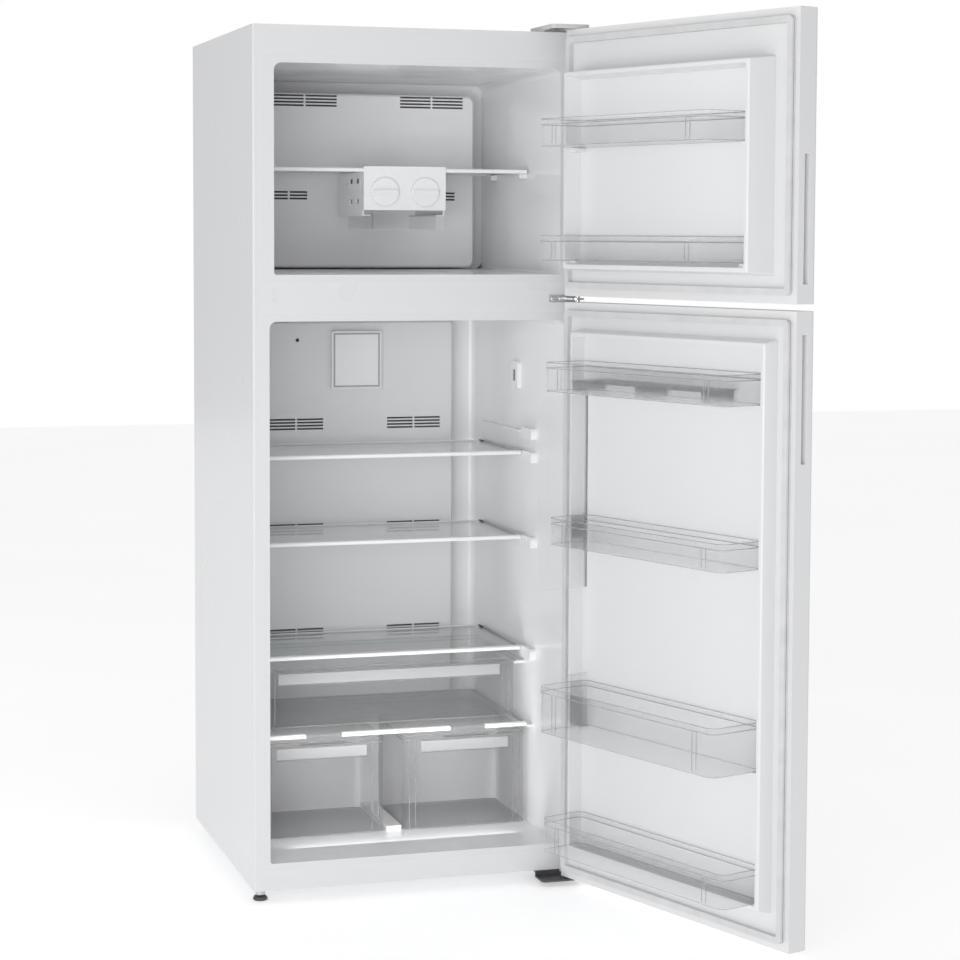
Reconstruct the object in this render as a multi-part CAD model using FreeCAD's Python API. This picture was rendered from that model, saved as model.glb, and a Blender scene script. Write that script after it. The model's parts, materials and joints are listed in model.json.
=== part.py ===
"""Top-freezer refrigerator: an insulated cabinet with two side-hinged doors.

X runs to the right, Y from the front to the back and Z up. The origin is on the floor
under the middle of the cabinet. Inside this file Y is the depth behind the cabinet's
front face, and save() moves each piece back to the origin. The doors are built shut and
then swung to the open angle that the part is stored at.
"""
import FreeCAD, Part
import os

V = FreeCAD.Vector

# ---- cabinet ----
CABINET_WIDTH = 700.0
CABINET_DEPTH = 664.0
GROUND_GAP = 24.0          # underside of the cabinet above the floor
FLOOR_WALL = 56.0          # insulated floor under the fresh-food space
FRIDGE_HEIGHT = 1117.0     # clear height of the fresh-food opening
MULLION_WALL = 95.0        # wall between the two compartments
FREEZER_HEIGHT = 428.0     # clear height of the freezer opening
TOP_WALL = 76.0
SHEET = 1.0                # steel sheet of the casing and doors
CASING_CORNER = 3.0
SIDE_FLANGE = 20.0         # casing turned in around the front
TOP_FLANGE = 59.0
BOTTOM_FLANGE = 42.0
MULLION_STRIP = 62.0
LINER = 2.0
FRIDGE_SIDE_WALL = 34.0    # side of the cabinet to the inside of the liner, at the front
FREEZER_SIDE_WALL = 44.0
FRIDGE_DRAFT = 16.0        # each side draws in by this much towards the back
FREEZER_DRAFT = 6.0
LEVEL_DRAFT = 5.0          # the same for the ceilings and the freezer floor
REAR_WALL = 62.0           # inner back face of the liners to the back of the cabinet
LINER_CORNER = 16.0
FLOOR_CORNER = 5.0
BACK_RIB = 1.0
BACK_RIBS = 5

# ---- compressor niche, base, feet and rollers ----
NICHE_DEPTH = 182.0
NICHE_HEIGHT = 208.0
NICHE_WALL = 50.0          # insulation over and in front of the niche
BASE_SHEET = 2.0
FOOT_EDGE = 18.0           # side of the cabinet to the foot's centre
FOOT_SETBACK = 27.0
FOOT_R = 15.0
FOOT_DISC = 8.0
FOOT_STUD_R = 5.0
BOSS_R = 10.0
BOSS_CLEAR = 4.0           # boss above the foot's disc
ROLLER_EDGE = 90.0
ROLLER_SETBACK = 34.0      # back of the cabinet to the axle
ROLLER_R = 15.0
ROLLER_WIDTH = 16.0
AXLE_R = 3.0
EAR = 2.5

# ---- doors ----
DOOR_THICKNESS = 48.0
DOOR_SIDE_GAP = 2.0        # door edge inside the side of the cabinet
DOOR_FRONT_GAP = 12.0      # shut door's inner face to the cabinet, filled by the seal
DOOR_CORNER = 9.0
DOOR_SPLIT_GAP = 13.0      # between the two doors
SPLIT_DROP = 3.0           # the split sits this far below the middle of the mullion
FRIDGE_DOOR_DROP = 7.0     # fresh-food door below the underside of the cabinet
FREEZER_DOOR_RISE = 3.0    # freezer door above the top of the cabinet
DOOR_CAP = 10.0
CAP_RIM = 3.0              # edge of a cap beyond the door's liner
HINGE_EDGE = 15.0          # hinge pin to the door's hinge-side edge
HINGE_SETBACK = 22.0       # hinge pin in front of the door's inner face
DOOR_REST_ANGLE = 109.3
SEAL_WIDTH = 13.0
SEAL_THICKNESS = 11.1
SEAL_EDGE = 11.0           # door edge to the seal
SEAL_END = 16.0            # door end to the seal
SEAL_CORNER = 10.0

# ---- hinges and running fits ----
PIN_R = 5.0
RUNNING_GAP = 0.06
HINGE_PLATE = 4.0
HINGE_REACH = 16.0         # plate in front of the pin's centre
HINGE_FOOT = 70.0          # top hinge behind the front of the cabinet
PIN_REACH = 8.0            # pin inside the door's end cap
ARM_WIDTH = 30.0
ARM_GAP = 1.5              # top hinge's arm above the door
SCREW_HEAD_R = 5.5
SCREW_HEAD = 3.0
SCREW_R = 2.5
COVER_HEIGHT = 10.0        # hinge cover above the freezer door
COVER_BACK = 96.0
COVER_WALL = 1.5

# ---- grips in the free edges of the doors ----
GRIP_WIDTH = 13.0
GRIP_DEPTH = 14.0
GRIP_LENGTH = 243.0
GRIP_SKIN = 1.5
GRIP_INSET = 15.0          # grip behind the door's inner face
FREEZER_GRIP_RISE = 37.0   # freezer door's lower end to its grip
FRIDGE_GRIP_DROP = 44.0    # fresh-food door's upper end to its grip

# ---- ridges of the door liners: (door edge to foot, height, foot width, panel level) ----
FREEZER_RIDGE = (64.0, 63.0, 27.0, 28.0)
FRIDGE_RIDGE = (49.0, 30.0, 17.0, 0.0)
RIDGE_SLOPE = 6.0          # a ridge's side draws in by this much from foot to crest
RIDGE_CREST = 9.0
FREEZER_RIDGE_GAP = 8.0    # ridge short of the compartment's ceiling and floor
FRIDGE_RIDGE_GAP = 16.0
FRIDGE_RIDGE_SILL = 4.0    # the same at the fresh-food floor

# ---- door bins: (door edge to bin, reach from the door, height, place) ----
# The place is above the compartment's floor, or below its ceiling when negative.
FREEZER_BINS = {
    "freezer_bin_upper": (94.0, 147.0, 56.0, 260.0),
    "freezer_bin_lower": (94.0, 147.0, 51.0, 31.0),
}
FRIDGE_BINS = {
    "egg_bin": (73.0, 113.0, 60.0, -141.0),
    "adjustable_bin": (83.0, 107.0, 55.0, -455.0),
    "bottle_bin": (80.0, 128.0, 95.0, 275.0),
    "bottom_bin": (69.0, 109.0, 68.0, 22.0),
}
BIN_WALL = 2.5
BIN_RIM = 12.0
BIN_RIM_PROUD = 1.2
BIN_CORNER = 16.0
BIN_BACK_GAP = 2.5         # door panel to the bin
PAD_HEIGHT = 8.0
PAD_REACH = 26.0
RAIL_EDGE = 80.0           # door edge to the adjustable bin's rail
RAIL_REACH = 124.0
RAIL_STRIP = 24.0
RAIL_SPAN = (-552.0, -152.0)
RAIL_SHEET = 2.5
EGG_ROWS = 2
EGG_COLUMNS = 8
EGG_PITCH = 48.0
EGG_HOLE_R = 19.0
EGG_PLATE_LIFT = 24.0

# ---- shelves and drawers ----
GLASS = 4.0
SLIDE_GAP = 0.6            # between a drawer or shelf and what it runs on
TRIM_HEIGHT = 8.5
TRIM_DEPTH = 13.0
REAR_TRIM = 7.0
REAR_INSET = 10.0          # rear trim short of the glass at each end
SHELF_SIDE_GAP = 4.0       # shelf to the liner at its narrowest
SHELF_BACK_GAP = 7.0
SHELF_FRONT = 226.0
LOW_SHELF_LIFT = 382.0     # underside of the glass above the fresh-food floor
TOP_SHELF_DROP = 302.0     # underside of the glass below the fresh-food ceiling
MIDDLE_SHELF_RAISE = 29.5  # above halfway between the other two
SPARE_LEDGE_RISE = 51.0    # free ledge above the top shelf
LEDGE_HEIGHT = 5.0
LEDGE_REACH = 7.0
LUG_AHEAD = 60.0           # lug beside a shelf, in front of the shelf's front edge
LUG_BEHIND = 12.0
LUG_BELOW = 18.0
LUG_ABOVE = 7.0
CRISPER_FRONT = 200.0
CRISPER_HEIGHT = 206.0
CRISPER_GAP = 42.0         # between the two crispers
CRISPER_COVER_LIFT = 221.0
CRISPER_COVER_FRONT = 175.0
NOTCH_WIDTH = 80.0
DRAWER_WALL = 2.5
DRAWER_CORNER = 14.0
DRAWER_RIM = 9.0
BAND_INSET = 40.0          # raised band on a drawer's front
BAND_DROP = 11.0
BAND_HEIGHT = 27.0
BAND_PROUD = 1.2
CHILLER_FRONT = 230.0
CHILLER_HEIGHT = 130.0
CHILLER_LIFT = 233.0
CHILLER_RIM = 5.0          # rim beyond the chiller's sides, which its runners carry
CHILLER_SIDE_GAP = 31.0    # drawer to the front edge of the liner
FREEZER_SHELF_FRONT = 197.0
FREEZER_SHELF_LIFT = 217.0

# ---- ice maker ----
ICE_LEFT = -70.0
ICE_WIDTH = 181.0
ICE_FRONT = 192.0
ICE_BACK_GAP = 45.0        # to the freezer's air cowl
ICE_HEIGHT = 81.0          # housing below the shelf's front trim
ICE_LIP = 12.0             # front plate above the underside of that trim
ICE_WALL = 3.0
KNOB_R = 30.5
KNOB_DISC = 5.0
KNOB_BAR = 6.0
SHAFT_R = 7.0
ICE_BIN_HEIGHT = 36.0
ICE_RAIL_DROP = 12.0       # bin's rails below the housing
ICE_RAIL_REACH = 18.0
ICE_RAIL = 2.5
ICE_CELL = 34.0

# ---- air ducts ----
DUCT_STAND = 57.0          # fresh-food duct in front of the liner's back
DUCT_EDGE = 84.0           # duct to the liner's front edge, sideways
DUCT_WALL = 3.0
DUCT_RISE = 30.0           # duct above the step over the niche
FREEZER_BACK_STAND = 55.0  # full-width panel in front of the liner's back
COWL_STAND = 77.0          # raised middle in front of that panel
COWL_EDGE = 48.0
COWL_TOP_GAP = 34.0
COWL_FLOOR_GAP = 8.0
VENT_INNER = 75.0          # middle line to a vent
VENT_EDGE = 31.0           # vent to the side of its duct
VENT_POST = 4.0            # bar between the two halves of a vent
VENT_SLOT = 4.0
VENT_PITCH = 7.2
DUCT_VENT_DROP = 254.0     # top fresh-food vents below the ceiling
DUCT_VENT_PITCH = 240.5
UPPER_VENT_DROP = 50.0     # freezer vents below the ceiling
UPPER_VENT_INNER = 73.0
UPPER_VENT_EDGE = 38.0
UPPER_VENT_SHIFT = 11.5    # the freezer's upper vents sit this far to the right
LOWER_VENT_RISE = 168.0
LOWER_VENT_INNER = 129.0
LOWER_VENT_WIDTH = 40.0
FAN_R = 52.0
FAN_BLADES = 7
FAN_DROP = 110.0
FAN_STAND = 24.0           # fan behind the cowl's face
HUB_R = 15.0
HUB_LENGTH = 16.0
SPINDLE_R = 2.5
MOTOR_R = 26.0
LIGHT_HALF = 58.0
LIGHT_HEIGHT = 131.0
LIGHT_DROP = 43.0          # light module below the fresh-food ceiling
LIGHT_DEPTH = 14.0
SENSOR_DEPTH = 270.0
SENSOR_WIDTH = 44.0
SENSOR_HEIGHT = 62.0
SENSOR_DROP = 164.0
SENSOR_PROUD = 9.0

# ---- derived places ----
HALF_W = CABINET_WIDTH / 2
FRIDGE_FLOOR = GROUND_GAP + FLOOR_WALL
FRIDGE_CEILING = FRIDGE_FLOOR + FRIDGE_HEIGHT
FREEZER_FLOOR = FRIDGE_CEILING + MULLION_WALL
FREEZER_CEILING = FREEZER_FLOOR + FREEZER_HEIGHT
CABINET_TOP = FREEZER_CEILING + TOP_WALL
FRIDGE_HALF = HALF_W - FRIDGE_SIDE_WALL
FREEZER_HALF = HALF_W - FREEZER_SIDE_WALL
LINER_BACK = CABINET_DEPTH - REAR_WALL
FOAM_FRONT = CASING_CORNER
FOAM_BACK = LINER_BACK + LINER
NICHE_FRONT = CABINET_DEPTH - NICHE_DEPTH
NICHE_TOP = GROUND_GAP + NICHE_HEIGHT
NICHE_HALF = FRIDGE_HALF - FRIDGE_DRAFT + LINER
STEP_FRONT = NICHE_FRONT - NICHE_WALL
STEP_TOP = NICHE_TOP + NICHE_WALL
MULLION_MIDDLE = FRIDGE_CEILING + MULLION_WALL / 2
MULLION_LOW = MULLION_MIDDLE - MULLION_STRIP / 2
MULLION_HIGH = MULLION_MIDDLE + MULLION_STRIP / 2
SPLIT_LOW = MULLION_MIDDLE - SPLIT_DROP - DOOR_SPLIT_GAP / 2
SPLIT_HIGH = SPLIT_LOW + DOOR_SPLIT_GAP
FRIDGE_DOOR_LOW = GROUND_GAP - FRIDGE_DOOR_DROP
FREEZER_DOOR_HIGH = CABINET_TOP + FREEZER_DOOR_RISE
DOOR_INNER = -DOOR_FRONT_GAP
DOOR_OUTER = DOOR_INNER - DOOR_THICKNESS
DOOR_HALF = HALF_W - DOOR_SIDE_GAP
PIN_X = DOOR_HALF - HINGE_EDGE
PIN_Y = DOOR_INNER - HINGE_SETBACK
FOOT_X = HALF_W - FOOT_EDGE
ROLLER_X = HALF_W - ROLLER_EDGE
ROLLER_DEPTH = CABINET_DEPTH - ROLLER_SETBACK
BASE_TOP = GROUND_GAP + BASE_SHEET
DUCT_FACE = LINER_BACK - DUCT_STAND
DUCT_HALF = FRIDGE_HALF - DUCT_EDGE
FREEZER_BACK = LINER_BACK - FREEZER_BACK_STAND
COWL_FACE = FREEZER_BACK - COWL_STAND
COWL_HALF = FREEZER_HALF - COWL_EDGE
COWL_LOW = FREEZER_FLOOR + COWL_FLOOR_GAP
COWL_HIGH = FREEZER_CEILING - COWL_TOP_GAP
VENT_WIDTH = (DUCT_HALF - VENT_INNER - VENT_EDGE - VENT_POST) / 2
UPPER_VENT_WIDTH = (COWL_HALF - UPPER_VENT_INNER - UPPER_VENT_EDGE - VENT_POST) / 2
FAN_Z = FREEZER_CEILING - FAN_DROP
FAN_DEPTH = COWL_FACE + FAN_STAND
LOW_SHELF = FRIDGE_FLOOR + LOW_SHELF_LIFT
TOP_SHELF = FRIDGE_CEILING - TOP_SHELF_DROP
MIDDLE_SHELF = (LOW_SHELF + TOP_SHELF) / 2 + MIDDLE_SHELF_RAISE
SHELF_BACK = DUCT_FACE - SHELF_BACK_GAP
CRISPER_COVER_Z = FRIDGE_FLOOR + CRISPER_COVER_LIFT
CHILLER_LOW = FRIDGE_FLOOR + CHILLER_LIFT
CHILLER_HALF = FRIDGE_HALF - CHILLER_SIDE_GAP
FREEZER_SHELF = FREEZER_FLOOR + FREEZER_SHELF_LIFT
FREEZER_SHELF_BACK = COWL_FACE - SHELF_BACK_GAP
ICE_RIGHT = ICE_LEFT + ICE_WIDTH
ICE_TOP = FREEZER_SHELF - (TRIM_HEIGHT - GLASS) / 2
ICE_BOTTOM = ICE_TOP - ICE_HEIGHT
ICE_BACK = COWL_FACE - ICE_BACK_GAP
ICE_MIDDLE = ICE_LEFT + ICE_WIDTH / 2
ICE_AXIS_Z = ICE_BOTTOM + (ICE_HEIGHT - ICE_WALL) / 2


# ---- general shapes ----
X = V(1, 0, 0)
Y = V(0, 1, 0)
Z = V(0, 0, 1)


def box(x0, x1, y0, y1, z0, z1):
    return Part.makeBox(x1 - x0, y1 - y0, z1 - z0, V(x0, y0, z0))


def cylinder(radius, length, base, direction):
    return Part.makeCylinder(radius, length, base, direction)


def fuse(shapes):
    shapes = list(shapes)
    if len(shapes) == 1:
        return shapes[0]
    return shapes[0].fuse(shapes[1:]).removeSplitter()


def anywhere(middle):
    return True


def edges_along(shape, direction, keep=anywhere):
    """The straight edges that run along a direction and whose middles pass the test."""
    found = []
    for edge in shape.Edges:
        if len(edge.Vertexes) == 2 and edge.Curve.TypeId == "Part::GeomLine":
            run = edge.Vertexes[1].Point - edge.Vertexes[0].Point
            if abs(run.normalize().dot(direction)) > 0.99 and keep(edge.CenterOfMass):
                found.append(edge)
    return found


def rounded(shape, radius, direction, keep=anywhere):
    return shape.makeFillet(radius, edges_along(shape, direction, keep))


def circular_edges(shape):
    return [edge for edge in shape.Edges if edge.Curve.TypeId == "Part::GeomCircle"]


def hexahedron(low, high):
    """A solid with flat faces between two rings of four points."""
    rings = [low, high]
    for i in range(4):
        j = (i + 1) % 4
        rings.append([low[i], low[j], high[j], high[i]])
    faces = [Part.Face(Part.makePolygon(ring + ring[:1])) for ring in rings]
    solid = Part.Solid(Part.Shell(faces))
    if solid.Volume < 0:
        solid.reverse()
    return solid


def upright_ring(half, low, high, y):
    return [V(-half, y, low), V(half, y, low), V(half, y, high), V(-half, y, high)]


def tapered(half_a, low_a, high_a, y_a, half_b, low_b, high_b, y_b):
    """A block about the middle plane, with one rectangle at y_a and another at y_b."""
    return hexahedron(upright_ring(half_a, low_a, high_a, y_a),
                      upright_ring(half_b, low_b, high_b, y_b))


def tray(x0, x1, y0, y1, z0, z1, wall, corner, rim=0.0, proud=0.0):
    """An open box with rounded upright corners and, if asked, a thicker rim."""
    outer = rounded(box(x0, x1, y0, y1, z0, z1), corner, Z)
    if rim:
        band = box(x0 - proud, x1 + proud, y0 - proud, y1 + proud, z1 - rim, z1)
        outer = outer.fuse(rounded(band, corner + proud, Z))
    inner = box(x0 + wall, x1 - wall, y0 + wall, y1 - wall, z0 + wall, z1 + wall)
    return outer.cut(rounded(inner, corner - wall, Z)).removeSplitter()


def bent_tube(points, radius):
    """A round bar along straight runs, with a ball at every turn."""
    parts = [cylinder(radius, (b - a).Length, a, b - a) for a, b in zip(points, points[1:])]
    parts += [Part.makeSphere(radius, p) for p in points[1:-1]]
    return fuse(parts)


def serpentine(x0, x1, y, levels, radius):
    path = []
    for i, z in enumerate(levels):
        ends = [V(x0, y, z), V(x1, y, z)]
        path += ends if i % 2 == 0 else ends[::-1]
    return bent_tube(path, radius)


# ---- writing the pieces ----
def save(name, shapes):
    shape = shapes if isinstance(shapes, Part.Shape) else Part.makeCompound(list(shapes))
    moved = shape.copy()
    moved.translate(V(0, -CABINET_DEPTH / 2, 0))
    moved.exportStep(os.path.join("parts", name + ".step"))


def save_on_door(name, shapes):
    """The piece as it stands when its door is open at the stored angle."""
    shape = shapes if isinstance(shapes, Part.Shape) else Part.makeCompound(list(shapes))
    swung = shape.copy()
    swung.rotate(V(PIN_X, PIN_Y, 0), Z, DOOR_REST_ANGLE)
    save(name, swung)


# ---- the two compartments and their liners ----
def freezer_space(grow=0.0):
    """The freezer; grow moves every wall out, for the outside of the liner."""
    return tapered(FREEZER_HALF + grow, FREEZER_FLOOR - grow, FREEZER_CEILING + grow, 0,
                   FREEZER_HALF - FREEZER_DRAFT + grow, FREEZER_FLOOR + LEVEL_DRAFT - grow,
                   FREEZER_CEILING - LEVEL_DRAFT + grow, LINER_BACK + grow)


def fridge_space(grow=0.0):
    return tapered(FRIDGE_HALF + grow, FRIDGE_FLOOR - grow, FRIDGE_CEILING + grow, 0,
                   FRIDGE_HALF - FRIDGE_DRAFT + grow, FRIDGE_FLOOR - grow,
                   FRIDGE_CEILING - LEVEL_DRAFT + grow, LINER_BACK + grow)


def step_block(shrink=0.0):
    """The step over the compressor niche."""
    return box(-HALF_W, HALF_W, STEP_FRONT + shrink, CABINET_DEPTH, 0, STEP_TOP - shrink)


def fridge_half_at(depth):
    return FRIDGE_HALF - FRIDGE_DRAFT * depth / LINER_BACK


def soften(space, radius, floor_radius):
    """Rounds the long edges and the back edges of a compartment, less at the floor."""
    floor = space.BoundBox.ZMin + LEVEL_DRAFT + 1
    edges = edges_along(space, Y, lambda m: m.z > floor)
    edges += edges_along(space, X, lambda m: m.y > LINER_BACK - 1 and m.z > floor)
    edges += edges_along(space, Z, lambda m: m.y > LINER_BACK - 1)
    space = space.makeFillet(radius, edges)
    return rounded(space, floor_radius, Y, lambda m: m.z < floor)


def ledge(y0, y1, z0, z1, inside):
    """Two strips on the side walls of the fresh-food space, inside apart from the middle."""
    bar = rounded(box(-HALF_W, HALF_W, y0, y1, z0, z1), (z1 - z0) / 3, X)
    bar = bar.cut(box(-inside, inside, y0 - 1, y1 + 1, z0 - 1, z1 + 1))
    return bar.common(fridge_space(LINER))


def shelf_ledges(z):
    """A long ledge under a shelf, and a lug on the wall beside the shelf's front end."""
    front = SHELF_FRONT + TRIM_DEPTH + 2
    back = SHELF_BACK - 12
    top = z - SLIDE_GAP
    long_one = ledge(front, back, top - LEDGE_HEIGHT, top,
                     fridge_half_at(back) - LEDGE_REACH)
    lug = ledge(SHELF_FRONT - LUG_AHEAD, SHELF_FRONT + LUG_BEHIND, z - LUG_BELOW,
                z + LUG_ABOVE, shelf_half(FRIDGE_HALF - FRIDGE_DRAFT) + 2)
    return [long_one, lug]


def front_flange(low, high):
    edge = HALF_W - SIDE_FLANGE
    return box(-edge, edge, 0, LINER, low, high)


def make_fridge_liner():
    inner = soften(fridge_space(), LINER_CORNER, FLOOR_CORNER).cut(step_block())
    outer = soften(fridge_space(LINER), LINER_CORNER + LINER, FLOOR_CORNER + LINER).cut(step_block(LINER))
    flange = front_flange(GROUND_GAP + BOTTOM_FLANGE, MULLION_LOW)
    extras = []
    for z in (LOW_SHELF, MIDDLE_SHELF, TOP_SHELF, TOP_SHELF + SPARE_LEDGE_RISE):
        extras += shelf_ledges(z)
    cover = CRISPER_COVER_Z - SLIDE_GAP
    extras.append(ledge(CRISPER_COVER_FRONT + 6, STEP_FRONT, cover - 6, cover,
                        fridge_half_at(STEP_FRONT) - LEDGE_REACH))
    runner = CHILLER_LOW + CHILLER_HEIGHT - DRAWER_RIM - SLIDE_GAP
    extras.append(ledge(CHILLER_FRONT + 10, SHELF_BACK - 20, runner - 7, runner,
                        CHILLER_HALF + 1))
    guide_half = CRISPER_GAP / 2 - 4
    guide = box(-guide_half, guide_half, CRISPER_FRONT - 4, STEP_FRONT + 1, FRIDGE_FLOOR - 1,
                FRIDGE_FLOOR + 12)
    extras.append(rounded(guide, 4, Z, lambda m: m.y < STEP_FRONT))
    save("fridge_liner", fuse([outer.fuse(flange).cut(inner)] + extras))


def make_freezer_liner():
    inner = soften(freezer_space(), LINER_CORNER, FLOOR_CORNER)
    outer = soften(freezer_space(LINER), LINER_CORNER + LINER, FLOOR_CORNER + LINER)
    flange = front_flange(MULLION_HIGH, CABINET_TOP - TOP_FLANGE)
    lugs = []
    inside = shelf_half(FREEZER_HALF - FREEZER_DRAFT) - 8
    top = FREEZER_SHELF - SLIDE_GAP
    for depth in (FREEZER_SHELF_FRONT + 28, FREEZER_SHELF_BACK - 30):
        bar = rounded(box(-HALF_W, HALF_W, depth, depth + 26, top - 12, top), 3, X)
        bar = bar.cut(box(-inside, inside, 0, CABINET_DEPTH, top - 20, top + 1))
        lugs.append(bar.common(outer))
    save("freezer_liner", fuse([outer.fuse(flange).cut(inner)] + lugs))


# ---- casing and insulation ----
def make_casing():
    outer = box(-HALF_W, HALF_W, 0, CABINET_DEPTH, GROUND_GAP, CABINET_TOP)
    outer = rounded(outer, CASING_CORNER, Z, lambda m: m.y < 1)
    inner = box(-HALF_W + SHEET, HALF_W - SHEET, SHEET, CABINET_DEPTH + 1,
                GROUND_GAP - 1, CABINET_TOP - SHEET)
    inner = rounded(inner, CASING_CORNER - SHEET, Z, lambda m: m.y < SHEET + 1)
    edge = HALF_W - SIDE_FLANGE
    window = box(-edge, edge, -1, SHEET + 1, GROUND_GAP + BOTTOM_FLANGE, CABINET_TOP - TOP_FLANGE)
    save("outer_casing", outer.cut([inner, window]))
    strip = box(-edge, edge, 0, SHEET, MULLION_LOW, MULLION_HIGH)
    plugs = [cylinder(5, 1.5, V(22 - edge, 0, MULLION_MIDDLE + dz), Y * -1) for dz in (-9, 9)]
    save("mullion_strip", fuse([strip] + plugs))


def make_back_panel():
    half = HALF_W - SHEET
    front = CABINET_DEPTH - SHEET
    pieces = [box(-half, half, front, CABINET_DEPTH, NICHE_TOP, CABINET_TOP - SHEET)]
    for x0, x1 in ((-half, -NICHE_HALF), (NICHE_HALF, half)):
        pieces.append(box(x0, x1, front, CABINET_DEPTH, BASE_TOP, NICHE_TOP))
    margin = 80.0
    low = NICHE_TOP + margin
    pitch = (CABINET_TOP - margin - low) / BACK_RIBS
    for i in range(BACK_RIBS):
        rib = box(margin - half, half - margin, front + SHEET / 2, CABINET_DEPTH + BACK_RIB,
                  low + i * pitch, low + (i + 0.72) * pitch)
        pieces.append(rounded(rib, 18, Y))
    save("back_panel", fuse(pieces))


def make_insulation():
    """Foam as flat-sided blocks that fill the walls around the two liners."""
    half = HALF_W - SHEET
    top = CABINET_TOP - SHEET
    back = CABINET_DEPTH - SHEET
    blocks = []

    def channel(front_half, draft, low, high):
        return tapered(front_half, low, high, 0, front_half - draft, low, high, FOAM_BACK)

    def slab(y0, y1, z0, z1):
        return box(-half, half, y0, y1, z0, z1)

    fridge = channel(FRIDGE_HALF + LINER, FRIDGE_DRAFT, 0, FREEZER_FLOOR)
    freezer = channel(FREEZER_HALF + LINER, FREEZER_DRAFT, FRIDGE_CEILING, CABINET_TOP)
    under = FRIDGE_FLOOR - LINER
    step = STEP_TOP - LINER
    inset = 40.0
    blocks += slab(FOAM_FRONT, FOAM_BACK, BASE_TOP, MULLION_MIDDLE).cut(fridge).Solids
    blocks += slab(FOAM_FRONT, FOAM_BACK, MULLION_MIDDLE, top).cut(freezer).Solids
    blocks.append(fridge.common(slab(FOAM_FRONT, NICHE_FRONT, BASE_TOP, under)))
    blocks.append(fridge.common(slab(STEP_FRONT + LINER, NICHE_FRONT, under, step)))
    blocks.append(fridge.common(slab(NICHE_FRONT, FOAM_BACK, NICHE_TOP, step)))
    ceiling = slab(FOAM_FRONT, FOAM_BACK, FRIDGE_CEILING - inset, MULLION_MIDDLE)
    blocks.append(fridge.common(ceiling).cut(fridge_space(LINER)))
    floor = slab(FOAM_FRONT, FOAM_BACK, MULLION_MIDDLE, FREEZER_FLOOR + inset)
    blocks.append(freezer.common(floor).cut(freezer_space(LINER)))
    roof = slab(FOAM_FRONT, FOAM_BACK, FREEZER_CEILING - inset, top)
    blocks.append(freezer.common(roof).cut(freezer_space(LINER)))
    blocks.append(slab(FOAM_BACK, back, NICHE_TOP, top))
    for x0, x1 in ((-half, -NICHE_HALF), (NICHE_HALF, half)):
        blocks.append(box(x0, x1, FOAM_BACK, back, BASE_TOP, NICHE_TOP))
    save("foam_insulation", blocks)


# ---- base, feet and rollers ----
def make_base():
    half = HALF_W - SHEET
    plate = box(-half, half, FOAM_FRONT, CABINET_DEPTH - SHEET, GROUND_GAP, BASE_TOP)
    slot = ROLLER_WIDTH / 2 + 2
    opening = ROLLER_R + 3
    extras = []
    studs = []
    for side in (-1, 1):
        foot = V(side * FOOT_X, FOOT_SETBACK, 0)
        low = FOOT_DISC + BOSS_CLEAR
        extras.append(cylinder(BOSS_R, BASE_TOP - low, foot + Z * low, Z))
        studs.append(cylinder(FOOT_STUD_R + RUNNING_GAP, BASE_TOP, foot, Z))
        x = side * ROLLER_X
        plate = plate.cut(box(x - slot, x + slot, ROLLER_DEPTH - opening, ROLLER_DEPTH + opening,
                              0, BASE_TOP + 1))
        for near in (x - slot - EAR, x + slot):
            ear = box(near, near + EAR, ROLLER_DEPTH - 11, ROLLER_DEPTH + 11, ROLLER_R - 8,
                      BASE_TOP)
            extras.append(rounded(ear, 6, X, lambda m: m.z < ROLLER_R))
        extras.append(cylinder(AXLE_R, 2 * slot + EAR,
                               V(x - slot - EAR / 2, ROLLER_DEPTH, ROLLER_R), X))
    save("base_plate", fuse([plate] + extras).cut(studs))


def make_feet_and_rollers():
    for name, side in (("left", -1), ("right", 1)):
        at = V(side * FOOT_X, FOOT_SETBACK, 0)
        disc = cylinder(FOOT_R, FOOT_DISC, at, Z)
        disc = disc.makeChamfer(1.5, circular_edges(disc))
        notch = FOOT_R * 0.8
        flats = [box(at.x + s * FOOT_R - 3, at.x + s * FOOT_R + 3, at.y - notch, at.y + notch,
                     FOOT_DISC - 3, FOOT_DISC + 1) for s in (-1, 1)]
        stud = cylinder(FOOT_STUD_R, BASE_TOP - 1 - FOOT_DISC, at + Z * FOOT_DISC, Z)
        save("front_foot_" + name, disc.cut(flats).fuse(stud).removeSplitter())
        start = V(side * ROLLER_X - ROLLER_WIDTH / 2, ROLLER_DEPTH, ROLLER_R)
        wheel = cylinder(ROLLER_R, ROLLER_WIDTH, start, X)
        wheel = wheel.makeFillet(1.5, circular_edges(wheel))
        bore = cylinder(AXLE_R + RUNNING_GAP, ROLLER_WIDTH + 2, start - X, X)
        save("rear_roller_" + name, wheel.cut(bore))


# ---- cooling system ----
def make_compressor():
    middle = V(95, NICHE_FRONT + NICHE_DEPTH / 2, BASE_TOP)
    pads = [cylinder(9, 16, middle + V(dx, dy, 0), Z) for dx in (-75, 75) for dy in (-48, 48)]
    foot = rounded(box(middle.x - 92, middle.x + 92, middle.y - 62, middle.y + 62,
                       BASE_TOP + 16, BASE_TOP + 19), 14, Z)
    shell = cylinder(66, 118, middle + Z * 19, Z)
    crown = [e for e in circular_edges(shell) if e.CenterOfMass.z > BASE_TOP + 100]
    shell = shell.makeFillet(34, crown)
    band = cylinder(69, 5, middle + Z * 78, Z)
    relay = rounded(box(middle.x + 60, middle.x + 88, middle.y - 32, middle.y + 32,
                        BASE_TOP + 50, BASE_TOP + 104), 4, X)
    stub = cylinder(4, 42, middle + V(-60, 0, 60), X * -1)
    save("compressor", fuse(pads + [foot, shell, band, relay, stub]))


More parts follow.
